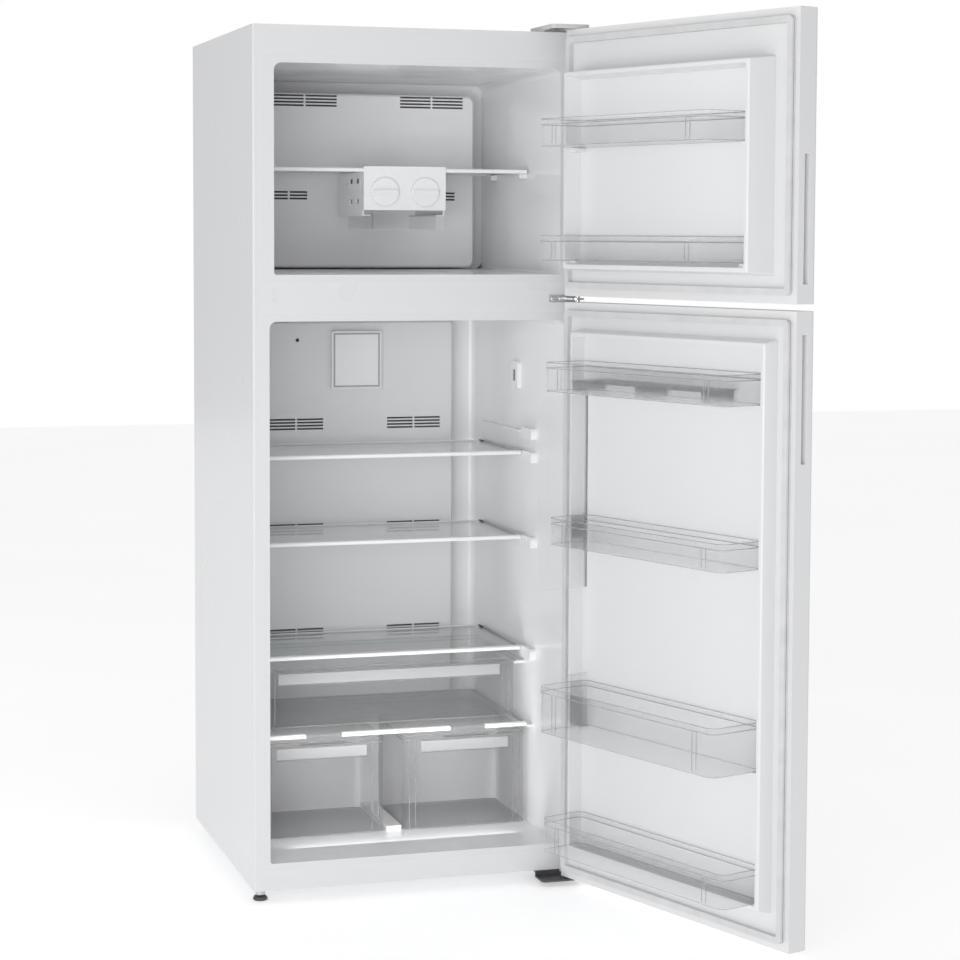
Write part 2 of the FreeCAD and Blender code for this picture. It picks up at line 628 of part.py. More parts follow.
def make_condenser():
    """A compact coil of tube with flat fins, beside the compressor."""
    x0, x1 = -HALF_W + 75, -30.0
    rows = (NICHE_FRONT + 45, NICHE_FRONT + 90)
    levels = [BASE_TOP + 34 + 26 * i for i in range(6)]
    pieces = [serpentine(x0, x1, y, levels, 3.5) for y in rows]
    pieces.append(bent_tube([V(x0, y, levels[-1]) for y in rows], 3.5))
    fins = 12
    for i in range(fins):
        x = x0 + 16 + i * (x1 - x0 - 32) / (fins - 1)
        pieces.append(box(x - 0.4, x + 0.4, rows[0] - 14, rows[1] + 14, levels[0] - 14,
                          levels[-1] + 10))
    for x in (x0 + 6, x1 - 6):
        pieces.append(box(x - 1.2, x + 1.2, rows[0] - 16, rows[1] + 16, BASE_TOP, levels[-1] + 12))
    save("condenser", fuse(pieces))


def make_evaporator():
    x0, x1 = -COWL_HALF + 35, COWL_HALF - 35
    low = FREEZER_FLOOR + 40
    rows = (COWL_FACE + 28, COWL_FACE + 54)
    levels = [low + 24 * i for i in range(5)]
    pieces = [serpentine(x0, x1, y, levels, 4.0) for y in rows]
    pieces.append(bent_tube([V(x1, y, levels[-1]) for y in rows], 4.0))
    fins = 12
    for i in range(fins):
        x = x0 + 14 + i * (x1 - x0 - 28) / (fins - 1)
        pieces.append(box(x - 0.4, x + 0.4, rows[0] - 12, rows[1] + 12, low - 12, levels[-1] + 12))
    save("evaporator", fuse(pieces))


def make_fan():
    start = V(0, FAN_DEPTH, FAN_Z)
    pieces = [cylinder(HUB_R, HUB_LENGTH, start, Y)]
    for i in range(FAN_BLADES):
        blade = rounded(box(-1.0, 1.0, -9, 9, HUB_R - 3, FAN_R), 6, X, lambda m: m.z > HUB_R)
        blade.rotate(V(0, 0, 0), Z, 42)
        blade.rotate(V(0, 0, 0), Y, i * 360 / FAN_BLADES)
        blade.translate(start + Y * (HUB_LENGTH / 2))
        pieces.append(blade)
    bore = cylinder(SPINDLE_R + RUNNING_GAP, HUB_LENGTH + 2, start - Y, Y)
    save("fan_blade", fuse(pieces).cut(bore))


# ---- air ducts and covers ----
def vent(x0, width, z, face, rows):
    """The slots of one vent, in two halves of that width, as cutting blocks."""
    slots = []
    for x in (x0, x0 + width + VENT_POST):
        for row in range(rows):
            low = z + (row - rows / 2) * VENT_PITCH + (VENT_PITCH - VENT_SLOT) / 2
            slots.append(box(x, x + width, face - 1, face + DUCT_WALL + 1, low, low + VENT_SLOT))
    return slots


def vent_pair(inner, width, z, face, rows, shift=0.0):
    full = 2 * width + VENT_POST
    right = vent(shift + inner, width, z, face, rows)
    return right + vent(shift - inner - full, width, z, face, rows)


def cowl_shell(half, face, back, low, high, corner, bevel):
    """A shallow cover with rounded corners and a bevelled face, open at the back."""
    cover = rounded(box(-half, half, face, back, low, high), corner, Y)
    cover = cover.makeChamfer(bevel, [e for e in cover.Edges if e.BoundBox.YMax < face + 0.01])
    hollow = box(-half + DUCT_WALL, half - DUCT_WALL, face + DUCT_WALL, back + 10,
                 low + DUCT_WALL, high - DUCT_WALL)
    hollow = rounded(hollow, corner - DUCT_WALL, Y)
    return cover, hollow


def make_freezer_panel():
    plate = box(-HALF_W, HALF_W, FREEZER_BACK, FREEZER_BACK + DUCT_WALL, 0, CABINET_TOP)
    plate = plate.common(freezer_space(-0.3))
    plate = rounded(plate, LINER_CORNER, Y)
    cover, hollow = cowl_shell(COWL_HALF, COWL_FACE, FREEZER_BACK + 1, COWL_LOW, COWL_HIGH, 16, 4)
    motor = cylinder(MOTOR_R, FREEZER_BACK - FAN_DEPTH - 20, V(0, FAN_DEPTH + 20, FAN_Z), Y)
    spindle = cylinder(SPINDLE_R, 24, V(0, FAN_DEPTH + 2, FAN_Z), Y)
    bar = FREEZER_BACK - 12
    inner = COWL_HALF - DUCT_WALL / 2
    arms = [box(-2, 2, bar, FREEZER_BACK, FAN_Z, COWL_HIGH - DUCT_WALL / 2),
            box(-inner, inner, bar, FREEZER_BACK, FAN_Z - 2, FAN_Z + 2)]
    panel = fuse([plate.fuse(cover).cut(hollow), motor, spindle] + arms)
    slots = vent_pair(UPPER_VENT_INNER, UPPER_VENT_WIDTH, FREEZER_CEILING - UPPER_VENT_DROP,
                      COWL_FACE, 4, UPPER_VENT_SHIFT)
    slots += vent_pair(LOWER_VENT_INNER, LOWER_VENT_WIDTH, FREEZER_FLOOR + LOWER_VENT_RISE,
                       COWL_FACE, 3)
    save("freezer_air_panel", panel.cut(slots))


def make_fridge_duct():
    low = STEP_TOP + DUCT_RISE
    high = FRIDGE_CEILING - LEVEL_DRAFT - LINER_CORNER
    cover, hollow = cowl_shell(DUCT_HALF, DUCT_FACE, LINER_BACK, low, high, 10, 4)
    holes = [hollow]
    for level in range(3):
        z = FRIDGE_CEILING - DUCT_VENT_DROP - level * DUCT_VENT_PITCH
        holes += vent_pair(VENT_INNER, VENT_WIDTH, z, DUCT_FACE, 4)
    holes.append(cylinder(4, 10, V(-VENT_INNER - 60, DUCT_FACE - 1, high - 42), Y))
    save("fridge_air_duct", cover.cut(holes))


def make_small_covers():
    high = FRIDGE_CEILING - LIGHT_DROP
    low = high - LIGHT_HEIGHT
    face = DUCT_FACE - LIGHT_DEPTH
    body = rounded(box(-LIGHT_HALF, LIGHT_HALF, face, DUCT_FACE, low, high), 4, Y)
    outline = box(-LIGHT_HALF + 5, LIGHT_HALF - 5, face - 1, face + 1, low + 5, high - 5)
    plateau = box(-LIGHT_HALF + 6.5, LIGHT_HALF - 6.5, face - 1, face + 2, low + 6.5, high - 6.5)
    save("light_cover", body.cut(outline.cut(plateau)))
    wall = fridge_half_at(SENSOR_DEPTH) - SENSOR_PROUD
    high = FRIDGE_CEILING - SENSOR_DROP + SENSOR_HEIGHT
    plate = box(wall, HALF_W, SENSOR_DEPTH, SENSOR_DEPTH + SENSOR_WIDTH, high - SENSOR_HEIGHT, high)
    plate = rounded(plate, 10, X).common(fridge_space(-0.05))
    slot = rounded(box(wall - 1, wall + 3, SENSOR_DEPTH + 6, SENSOR_DEPTH + 11,
                       high - SENSOR_HEIGHT + 16, high - 16), 2, X)
    save("sensor_cover", plate.cut(slot))


def make_rear_grille():
    half = NICHE_HALF - 1
    front = CABINET_DEPTH - 3
    plate = box(-half, half, front, CABINET_DEPTH, BASE_TOP, NICHE_TOP)
    slots = []
    columns = 8
    rows = 9
    left = 30 - half
    pitch = (2 * half - 130) / columns
    for column in range(columns):
        x = left + column * pitch
        for row in range(rows):
            z = BASE_TOP + 30 + row * 17
            slots.append(box(x, x + pitch - 12, front - 1, CABINET_DEPTH + 1, z, z + 6))
    x1 = half - 28
    x0 = x1 - 34
    z0 = BASE_TOP + 60
    z1 = z0 + 28
    inlet = rounded(box(x0, x1, CABINET_DEPTH - 22, CABINET_DEPTH + 1, z0, z1), 3, Y)
    socket = rounded(box(x0 + 4, x1 - 4, CABINET_DEPTH - 18, CABINET_DEPTH + 2, z0 + 4, z1 - 4),
                     2.5, Y)
    middle_x = (x0 + x1) / 2
    middle_z = (z0 + z1) / 2
    pins = [box(middle_x + dx - 1, middle_x + dx + 1, CABINET_DEPTH - 19, CABINET_DEPTH - 4,
                middle_z + dz - 2.5, middle_z + dz + 2.5)
            for dx, dz in ((-7, -1.5), (7, -1.5), (0, 4))]
    save("rear_grille", fuse([plate.cut(slots).fuse(inlet).cut(socket)] + pins))


# ---- hinges ----
def screws_at(points, direction, length):
    """Pan-head screws; each point is on the face that the head bears on."""
    screws = []
    for point in points:
        head = cylinder(SCREW_HEAD_R, SCREW_HEAD, point, direction)
        crown = [e for e in circular_edges(head)
                 if (e.CenterOfMass - point).dot(direction) > SCREW_HEAD / 2]
        head = head.makeFillet(1.2, crown)
        recess = cylinder(2.0, 1.5, point + direction * (SCREW_HEAD - 1.2), direction)
        shank = cylinder(SCREW_R, length, point, direction * -1)
        screws.append(head.cut(recess).fuse(shank).removeSplitter())
    return screws


def screw_holes(points, direction, length):
    return [cylinder(SCREW_R, length, point, direction * -1) for point in points]


def hinge_arm(x0, x1, back, z):
    front = PIN_Y - HINGE_REACH
    arm = box(x0, x1, front, back, z, z + HINGE_PLATE)
    return rounded(arm, 10, Z, lambda m: m.y < front + 1)


def make_hinges():
    x0 = PIN_X - ARM_WIDTH / 2
    x1 = PIN_X + ARM_WIDTH / 2 - 3
    screws = []

    # top hinge: a raised arm over the door, on a foot screwed to the casing
    z0 = FREEZER_DOOR_HIGH + ARM_GAP
    z1 = z0 + HINGE_PLATE
    foot = box(x0 - 46, x1, 12, HINGE_FOOT, CABINET_TOP, z1)
    pin_low = FREEZER_DOOR_HIGH - PIN_REACH
    pin = cylinder(PIN_R, z0 - pin_low, V(PIN_X, PIN_Y, pin_low), Z)
    points = [V(x, 42, z1) for x in (x0 - 34, x0 - 8, x1 - 12)]
    screws += screws_at(points, Z, z1 - CABINET_TOP)
    body = fuse([hinge_arm(x0, x1, HINGE_FOOT, z0), foot, pin])
    save("top_hinge", body.cut(screw_holes(points, Z, z1 - CABINET_TOP)))

    # middle hinge: a plate on the mullion and an arm in the split, with a pin each way
    z0 = SPLIT_LOW + (DOOR_SPLIT_GAP - HINGE_PLATE) / 2
    z1 = z0 + HINGE_PLATE
    sheet = 2.5
    plate = rounded(box(x0 - 37, x1, -sheet, 0, z0 - 6, z1 + 6), 4, Y)
    pins = [cylinder(PIN_R, z0 - SPLIT_LOW + PIN_REACH, V(PIN_X, PIN_Y, SPLIT_LOW - PIN_REACH), Z),
            cylinder(PIN_R, SPLIT_HIGH + PIN_REACH - z1, V(PIN_X, PIN_Y, z1), Z)]
    points = [V(x, -sheet, (z0 + z1) / 2) for x in (x0 - 27, x0 - 10)]
    screws += screws_at(points, Y * -1, sheet)
    body = fuse([plate, hinge_arm(x0, x1, 0, z0)] + pins)
    save("middle_hinge", body.cut(screw_holes(points, Y * -1, sheet)))

    # bottom hinge: an arm below the door, hung from the underside of the cabinet
    z1 = FRIDGE_DOOR_LOW - 3
    z0 = z1 - HINGE_PLATE
    inner = x0 - 60
    outer = x0 - 6
    web = box(inner, outer, -3, 1, z0, GROUND_GAP)
    flange = box(inner, outer, 0.5, 62, GROUND_GAP - HINGE_PLATE, GROUND_GAP)
    pin = cylinder(PIN_R, FRIDGE_DOOR_LOW + PIN_REACH - z1, V(PIN_X, PIN_Y, z1), Z)
    under = GROUND_GAP - HINGE_PLATE
    points = [V(inner + 14, 20, under), V(inner + 40, 20, under), V(inner + 27, 48, under)]
    screws += screws_at(points, Z * -1, HINGE_PLATE)
    body = fuse([hinge_arm(inner, x1, -2, z0), web, flange, pin])
    save("bottom_hinge", body.cut(screw_holes(points, Z * -1, HINGE_PLATE)))
    save("hinge_screws", screws)


def make_hinge_cover():
    x0 = PIN_X - 66
    x1 = HALF_W - 0.5
    y0 = PIN_Y - HINGE_REACH - 4
    low = FREEZER_DOOR_HIGH + 0.8
    high = FREEZER_DOOR_HIGH + COVER_HEIGHT
    over_door = rounded(box(x0, x1, y0, COVER_BACK, low, high), 8, Z)
    on_top = rounded(box(x0, x1, 2, COVER_BACK, CABINET_TOP, high), 8, Z, lambda m: m.y > 50)
    hollow = rounded(box(x0 + COVER_WALL, x1 - COVER_WALL, y0 + COVER_WALL,
                         COVER_BACK - COVER_WALL, CABINET_TOP - 1, high - COVER_WALL),
                     8 - COVER_WALL, Z)
    save("top_hinge_cover", over_door.fuse(on_top).cut(hollow).removeSplitter())


# ---- doors ----
def door_outline(low, high, inset=0.0):
    """The door's block with its rounded front corners, drawn in at the front and sides."""
    front = DOOR_OUTER + inset
    block = box(-DOOR_HALF + inset, DOOR_HALF - inset, front, DOOR_INNER, low, high)
    return rounded(block, DOOR_CORNER - inset, Z, lambda m: m.y < front + 1)


def grip_box(low, grow):
    """The grip's pocket in the free edge; grow is the wall of its lining."""
    return box(-DOOR_HALF, -DOOR_HALF + GRIP_DEPTH + grow,
               DOOR_INNER - GRIP_INSET - GRIP_WIDTH - grow, DOOR_INNER - GRIP_INSET + grow,
               low - grow, low + GRIP_LENGTH + grow)


def liner_sheet(low, high):
    """The flat sheet of a door's liner, set into the two end caps."""
    half = DOOR_HALF - SHEET
    return box(-half, half, DOOR_INNER - LINER, DOOR_INNER, low + CAP_RIM, high - CAP_RIM)


def make_door_case(name, low, high, grip_low):
    """The steel skin, the end caps with the grip's lining, and the seal."""
    lining = grip_box(grip_low, GRIP_SKIN)
    inner = door_outline(low, high, SHEET)
    save_on_door(name + "_skin", door_outline(low, high).cut([inner, lining]))
    caps = []
    for cap_low, bore_low in ((low, low), (high - DOOR_CAP, high - PIN_REACH - 0.5)):
        level = box(-HALF_W, HALF_W, DOOR_OUTER, DOOR_INNER, cap_low, cap_low + DOOR_CAP)
        bore = cylinder(PIN_R + RUNNING_GAP, PIN_REACH + 0.5, V(PIN_X, PIN_Y, bore_low), Z)
        caps.append(inner.common(level).cut([bore, liner_sheet(low, high)]))
    caps.append(lining.cut(grip_box(grip_low, 0.0)))
    save_on_door(name + "_trim", caps)

    half = DOOR_HALF - SEAL_EDGE
    front = DOOR_INNER
    back = front + SEAL_THICKNESS
    z0 = low + SEAL_END
    z1 = high - SEAL_END
    w = SEAL_WIDTH
    ring = rounded(box(-half, half, front, back, z0, z1), SEAL_CORNER, Y)
    hole = rounded(box(-half + w, half - w, front - 1, back + 1, z0 + w, z1 - w), 4, Y)
    groove = box(-HALF_W, HALF_W, front + 4, front + 6.5, z0 - 1, z1 + 1)
    core = rounded(box(-half + 3, half - 3, front, back, z0 + 3, z1 - 3), SEAL_CORNER - 3, Y)
    save_on_door(name + "_gasket", ring.cut([hole, groove.cut(core)]))


def door_foam(low, high, grip_low):
    """The foam behind the skin, in blocks that leave the grip open."""
    front = DOOR_OUTER
    back = DOOR_INNER - LINER
    low += DOOR_CAP
    high -= DOOR_CAP
    slab = door_outline(low, high, SHEET)
    pocket = grip_box(grip_low, GRIP_SKIN).BoundBox
    edge = pocket.XMax
    blocks = [slab.common(box(edge, HALF_W, front, back, low, high))]
    for y0, y1, z0, z1 in ((front, back, low, pocket.ZMin),
                           (front, back, pocket.ZMax, high),
                           (front, pocket.YMin, pocket.ZMin, pocket.ZMax),
                           (pocket.YMax, back, pocket.ZMin, pocket.ZMax)):
        blocks.append(slab.common(box(-HALF_W, edge, y0, y1, z0, z1)))
    return blocks


def door_ridge(ridge, low, high):
    """The ridge of a door liner: its outside, and the flat-sided foam blocks in it."""
    edge, height, foot, panel = ridge
    drop = foot - RIDGE_SLOPE - RIDGE_CREST

    def ring(inset, level):
        half = DOOR_HALF - edge - inset
        return upright_ring(half, low + inset, high - inset, DOOR_INNER + level)

    def inner_inset(level):
        return foot - drop * level / height

    over = 4.0
    dome = hexahedron(ring(0, 0), ring(RIDGE_SLOPE, height))
    dome = dome.makeFillet(4.0, [e for e in dome.Edges if e.BoundBox.YMax > DOOR_INNER + 1])
    pocket = hexahedron(ring(inner_inset(panel), panel),
                        ring(inner_inset(height + over), height + over))
    slanted = [e for e in pocket.Edges if e.BoundBox.YMax - e.BoundBox.YMin > 1]
    pocket = pocket.makeFillet(5.0, slanted)

    t = LINER
    crest = height - t - 1
    low_out = ring(t, -t)
    high_out = ring(RIDGE_SLOPE + t, crest)
    low_in = ring(inner_inset(-t) - t, -t)
    high_in = ring(inner_inset(crest) - t, crest)
    blocks = []
    for i in range(4):
        j = (i + 1) % 4
        blocks.append(hexahedron([low_out[i], low_out[j], low_in[j], low_in[i]],
                                 [high_out[i], high_out[j], high_in[j], high_in[i]]))
    if panel > t:
        blocks.append(hexahedron(low_in, ring(inner_inset(panel - t) - t, panel - t)))
    return dome.cut(pocket), pocket, blocks


def bin_pads(bins, ridge, place):
    """Pads on the ridge under both ends of each bin."""
    pads = []
    edge, height, foot, panel = ridge
    for name, (margin, reach, tall, at) in bins.items():
        if name == "adjustable_bin":
            continue
        top = place(at) - SLIDE_GAP
        near = DOOR_HALF - margin - 9
        far = DOOR_HALF - edge - foot / 2
        y0 = DOOR_INNER + panel - LINER / 2
        for side in (-1, 1):
            x0, x1 = sorted((side * near, side * far))
            pads.append(rounded(box(x0, x1, y0, y0 + PAD_REACH, top - PAD_HEIGHT, top), 2, Y))
    return pads


def make_door_inside(name, low, high, grip_low, ridge, span, bins, place):
    outside, pocket, blocks = door_ridge(ridge, *span)
    pads = [pad.cut(blocks) for pad in bin_pads(bins, ridge, place)]
    formed = liner_sheet(low, high).fuse(outside).cut(blocks)
    save_on_door(name + "_liner", fuse([formed] + pads))
    save_on_door(name + "_foam", door_foam(low, high, grip_low) + blocks)


def make_bins(bins, ridge, place):
    panel = ridge[3]
    for name, (margin, reach, tall, at) in bins.items():
        z0 = place(at)
        half = DOOR_HALF - margin
        y0 = DOOR_INNER + panel + BIN_BACK_GAP
        bin_shape = tray(-half, half, y0, DOOR_INNER + reach - BIN_RIM_PROUD, z0, z0 + tall,
                         BIN_WALL, BIN_CORNER, BIN_RIM, BIN_RIM_PROUD)
        save_on_door(name, bin_shape)


def freezer_place(at):
    return FREEZER_FLOOR + at if at >= 0 else FREEZER_CEILING + at


def fridge_place(at):
    return FRIDGE_FLOOR + at if at >= 0 else FRIDGE_CEILING + at


def make_egg_tray():
    margin, reach, tall, at = FRIDGE_BINS["egg_bin"]
    floor = fridge_place(at) + BIN_WALL
    y0 = DOOR_INNER + BIN_BACK_GAP + BIN_WALL + 1
    y1 = DOOR_INNER + reach - BIN_RIM_PROUD - BIN_WALL - 1
    half = EGG_COLUMNS * EGG_PITCH / 2 + 4
    top = floor + EGG_PLATE_LIFT
    plate = rounded(box(-half, half, y0, y1, top - 2.5, top), 8, Z)
    legs = [rounded(box(x - 2, x + 2, y0 + 10, y1 - 10, floor, top - 1), 1.5, Z)
            for x in (-half + 2, 0, half - 2)]
    holes = []
    for row in range(EGG_ROWS):
        y = (y0 + y1) / 2 + (row - (EGG_ROWS - 1) / 2) * EGG_PITCH
        for column in range(EGG_COLUMNS):
            x = (column - (EGG_COLUMNS - 1) / 2) * EGG_PITCH
            holes.append(cylinder(EGG_HOLE_R, 6, V(x, y, top - 4), Z))
    save_on_door("egg_tray", fuse([plate] + legs).cut(holes))


def make_adjustable_rail():
    """The clear side plate that the adjustable bin is set along."""
    x0 = DOOR_HALF - RAIL_EDGE
    y1 = DOOR_INNER + RAIL_REACH
    z0, z1 = (FRIDGE_CEILING + z for z in RAIL_SPAN)
    plate = rounded(box(x0, x0 + RAIL_SHEET, DOOR_INNER, y1, z0, z1), 8, X, lambda m: m.y > 0)
    strip = box(x0, x0 + 2 * RAIL_SHEET, y1 - RAIL_STRIP, y1, z0, z1)
    strip = rounded(strip, 8, X, lambda m: m.y > y1 - 1)
    foot = box(x0, x0 + 4 * RAIL_SHEET, DOOR_INNER, DOOR_INNER + RAIL_SHEET, z0, z1)
    count = 9
    pitch = (z1 - z0 - 40) / (count - 1)
    holes = []
    for i in range(count):
        z = z0 + 20 + i * pitch
        hole = box(x0 - 1, x0 + 3 * RAIL_SHEET, y1 - 16, y1 - 10, z - 6, z + 6)
        holes.append(rounded(hole, 2, X))
    save_on_door("adjustable_rail", fuse([plate, strip, foot]).cut(holes))


def make_doors():
    freezer_grip = SPLIT_HIGH + FREEZER_GRIP_RISE
    fridge_grip = SPLIT_LOW - FRIDGE_GRIP_DROP - GRIP_LENGTH
    make_door_case("freezer_door", SPLIT_HIGH, FREEZER_DOOR_HIGH, freezer_grip)
    make_door_case("fridge_door", FRIDGE_DOOR_LOW, SPLIT_LOW, fridge_grip)
    make_door_inside("freezer_door", SPLIT_HIGH, FREEZER_DOOR_HIGH, freezer_grip, FREEZER_RIDGE,
                     (FREEZER_FLOOR + FREEZER_RIDGE_GAP, FREEZER_CEILING - FREEZER_RIDGE_GAP),
                     FREEZER_BINS, freezer_place)
    make_door_inside("fridge_door", FRIDGE_DOOR_LOW, SPLIT_LOW, fridge_grip, FRIDGE_RIDGE,
                     (FRIDGE_FLOOR + FRIDGE_RIDGE_SILL, FRIDGE_CEILING - FRIDGE_RIDGE_GAP),
                     FRIDGE_BINS, fridge_place)
    make_bins(FREEZER_BINS, FREEZER_RIDGE, freezer_place)
    make_bins(FRIDGE_BINS, FRIDGE_RIDGE, fridge_place)
    make_egg_tray()
    make_adjustable_rail()


# ---- shelves and drawers ----
def shelf_half(narrowest):
    return narrowest - SHELF_SIDE_GAP


def make_shelf(name, half, front, back, z, notches=()):
    """A glass plate whose front and rear edges sit in white trims."""
    glass = rounded(box(-half, half, front + 4, back - 2, z, z + GLASS), 3, Z)
    low = z - (TRIM_HEIGHT - GLASS) / 2
    bar = box(-half - 1, half + 1, front, front + TRIM_DEPTH, low, low + TRIM_HEIGHT)
    bar = rounded(bar, 3, X, lambda m: m.y < front + 1)
    bar = rounded(bar, 3, Z, lambda m: m.y < front + 1)
    rear = box(REAR_INSET - half, half - REAR_INSET, back - REAR_TRIM, back, low + 1,
               low + TRIM_HEIGHT - 1)
    trims = [bar.cut([glass] + list(notches)), rounded(rear, 1.5, X).cut(glass)]
    save(name + "_glass", glass)
    save(name + "_trim", trims)


def make_shelves():
    half = shelf_half(FRIDGE_HALF - FRIDGE_DRAFT)
    for name, z in (("top", TOP_SHELF), ("middle", MIDDLE_SHELF), ("low", LOW_SHELF)):
        make_shelf(name + "_shelf", half, SHELF_FRONT, SHELF_BACK, z)
    make_shelf("freezer_shelf", shelf_half(FREEZER_HALF - FREEZER_DRAFT), FREEZER_SHELF_FRONT,
               FREEZER_SHELF_BACK, FREEZER_SHELF)
    crisper_middle = CRISPER_GAP / 2 + (shelf_half(fridge_half_at(STEP_FRONT)) - CRISPER_GAP / 2) / 2
    notches = []
    for side in (-1, 1):
        x = side * crisper_middle
        notches.append(box(x - NOTCH_WIDTH / 2, x + NOTCH_WIDTH / 2, CRISPER_COVER_FRONT - 1,
                           CRISPER_COVER_FRONT + TRIM_DEPTH + 1, 0, CABINET_TOP))
    make_shelf("crisper_cover", half, CRISPER_COVER_FRONT, LINER_BACK - LINER_CORNER - 2,
               CRISPER_COVER_Z, notches)


def make_drawer(x0, x1, front, back, z0, height, rim):
    """An open drawer with a raised band across its front."""
    body = tray(x0, x1, front, back, z0, z0 + height, DRAWER_WALL, DRAWER_CORNER, rim[0], rim[1])
    top = z0 + height - BAND_DROP
    band = box(x0 + BAND_INSET, x1 - BAND_INSET, front - BAND_PROUD, front + DRAWER_WALL / 2,
               top - BAND_HEIGHT, top)
    return fuse([body, rounded(band, 3, Y)])


def front_lip(x0, x1, front, top):
    """The turned-down lip that a drawer is pulled by."""
    middle = (x0 + x1) / 2
    wide = NOTCH_WIDTH / 2 + 10
    lip = box(middle - wide, middle + wide, front - 10, front + DRAWER_WALL - 1, top - 3, top)
    turn = box(middle - wide, middle + wide, front - 10, front - 7.5, top - 9, top)
    return rounded(fuse([lip, turn]), 4, Y, lambda m: m.z < top - 5)


def make_drawers():
    outer = shelf_half(fridge_half_at(STEP_FRONT)) - 1
    inner = CRISPER_GAP / 2
    back = STEP_FRONT - 6
    low = FRIDGE_FLOOR + SLIDE_GAP
    for name, x0, x1 in (("crisper_left", -outer, -inner), ("crisper_right", inner, outer)):
        body = make_drawer(x0, x1, CRISPER_FRONT, back, low, CRISPER_HEIGHT, (DRAWER_RIM, 1.0))
        save(name, fuse([body, front_lip(x0, x1, CRISPER_FRONT, low + CRISPER_HEIGHT)]))
    save("chiller_drawer",
         make_drawer(-CHILLER_HALF, CHILLER_HALF, CHILLER_FRONT, SHELF_BACK - 5, CHILLER_LOW,
                     CHILLER_HEIGHT, (DRAWER_RIM, CHILLER_RIM)))


# ---- ice maker ----
def make_ice_maker():
    wall = ICE_WALL
    trim_face = FREEZER_SHELF_FRONT
    front = box(ICE_LEFT, ICE_RIGHT, ICE_FRONT, trim_face, ICE_BOTTOM, ICE_TOP + ICE_LIP)
    front = rounded(front, 3, Y)
    body = box(ICE_LEFT, ICE_RIGHT, trim_face, ICE_BACK, ICE_BOTTOM, ICE_TOP)
    half_room = ICE_WIDTH / 2 - wall
    rooms = []
    axes = []
    for side in (-1, 1):
        x0, x1 = sorted((ICE_MIDDLE + side * wall / 2, ICE_MIDDLE + side * half_room))
        rooms.append(box(x0, x1, trim_face, ICE_BACK - wall, ICE_BOTTOM - 1, ICE_TOP - wall))
        axes.append(V((x0 + x1) / 2, 0, ICE_AXIS_Z))
    holes = []
    for axis in axes:
        holes.append(cylinder(SHAFT_R + RUNNING_GAP, 20, axis + Y * (ICE_FRONT - 5), Y))
        holes.append(cylinder(AXLE_R + RUNNING_GAP, 20, axis + Y * (ICE_BACK - 12), Y))
    for y in (ICE_FRONT + 45, ICE_FRONT + 100):
        for z in (ICE_BOTTOM + 14, ICE_TOP - 24):
            holes.append(box(ICE_LEFT - 1, ICE_LEFT + wall + 1, y, y + 26, z, z + 10))
    hangers = []
    low = ICE_BOTTOM - ICE_RAIL_DROP
    for side in (-1, 1):
        edge = ICE_MIDDLE + side * ICE_WIDTH / 2
        for reach, top in ((wall, ICE_BOTTOM + 1), (ICE_RAIL_REACH, low + ICE_RAIL)):
            x0, x1 = sorted((edge, edge - side * reach))
            hangers.append(box(x0, x1, trim_face + 6, ICE_BACK, low, top))
    save("ice_maker_housing", fuse([front, body] + hangers).cut(rooms + holes))

    for name, axis in zip(("left", "right"), axes):
        make_ice_tray("ice_tray_" + name, axis)
    make_ice_bin(low + ICE_RAIL + SLIDE_GAP)


def make_ice_bin(flange_low):
    """The bin hangs by its flanges on the housing's rails."""
    half = ICE_WIDTH / 2 - ICE_RAIL_REACH - 1.2
    top = flange_low + DRAWER_WALL
    z0 = top - ICE_BIN_HEIGHT
    body = tray(ICE_MIDDLE - half, ICE_MIDDLE + half, ICE_FRONT + 3, ICE_BACK - 6, z0, top,
                DRAWER_WALL, 8)
    pieces = [body]
    reach = ICE_WIDTH / 2 - ICE_WALL - 1.2
    for side in (-1, 1):
        x0, x1 = sorted((ICE_MIDDLE + side * (half - 1), ICE_MIDDLE + side * reach))
        pieces.append(box(x0, x1, FREEZER_SHELF_FRONT + 8, ICE_BACK - 14, flange_low, top))
    face = ICE_WIDTH / 2 - 1.5
    front = box(ICE_MIDDLE - face, ICE_MIDDLE + face, ICE_FRONT + 2, ICE_FRONT + 5, z0,
                ICE_BOTTOM - 1)
    pieces.append(rounded(front, 4, Y))
    save("ice_bin", fuse(pieces))


def make_ice_tray(name, axis):
    """A two-row tray with its turning knob, in one moulding."""
    face = ICE_FRONT - SLIDE_GAP
    disc = cylinder(KNOB_R, KNOB_DISC, axis + Y * (face - KNOB_DISC), Y)
    outer_rim = [e for e in circular_edges(disc) if e.CenterOfMass.y < face - 1]
    disc = disc.makeFillet(1.5, outer_rim)
    bar = rounded(box(axis.x - KNOB_R + 4, axis.x + KNOB_R - 4, face - KNOB_DISC - KNOB_BAR,
                      face - 1, axis.z - 4, axis.z + 4), 3, Y)
    start = FREEZER_SHELF_FRONT + 6
    end = ICE_BACK - ICE_WALL - 4
    shaft = cylinder(SHAFT_R, start - face + 2, axis + Y * (face - 1), Y)
    pivot = cylinder(AXLE_R, ICE_BACK - end + 1, axis + Y * (end - 1), Y)
    half = 32.0
    body = box(axis.x - half, axis.x + half, start, end, axis.z - 14, axis.z + 12)
    body = rounded(body, 6, Y, lambda m: m.z < axis.z)
    cells = []
    rows = int((end - start - 10) / ICE_CELL)
    pitch = (end - start - 10) / rows
    for row in range(rows):
        y = start + 5 + row * pitch
        for x0 in (axis.x - half + 3, axis.x + 1.5):
            cell = box(x0, x0 + half - 4.5, y + 1.5, y + pitch - 1.5, axis.z - 8, axis.z + 13)
            cells.append(rounded(cell, 4, Z))
    tray_body = body.cut(cells)
    save(name, fuse([disc, bar, shaft, tray_body, pivot]))


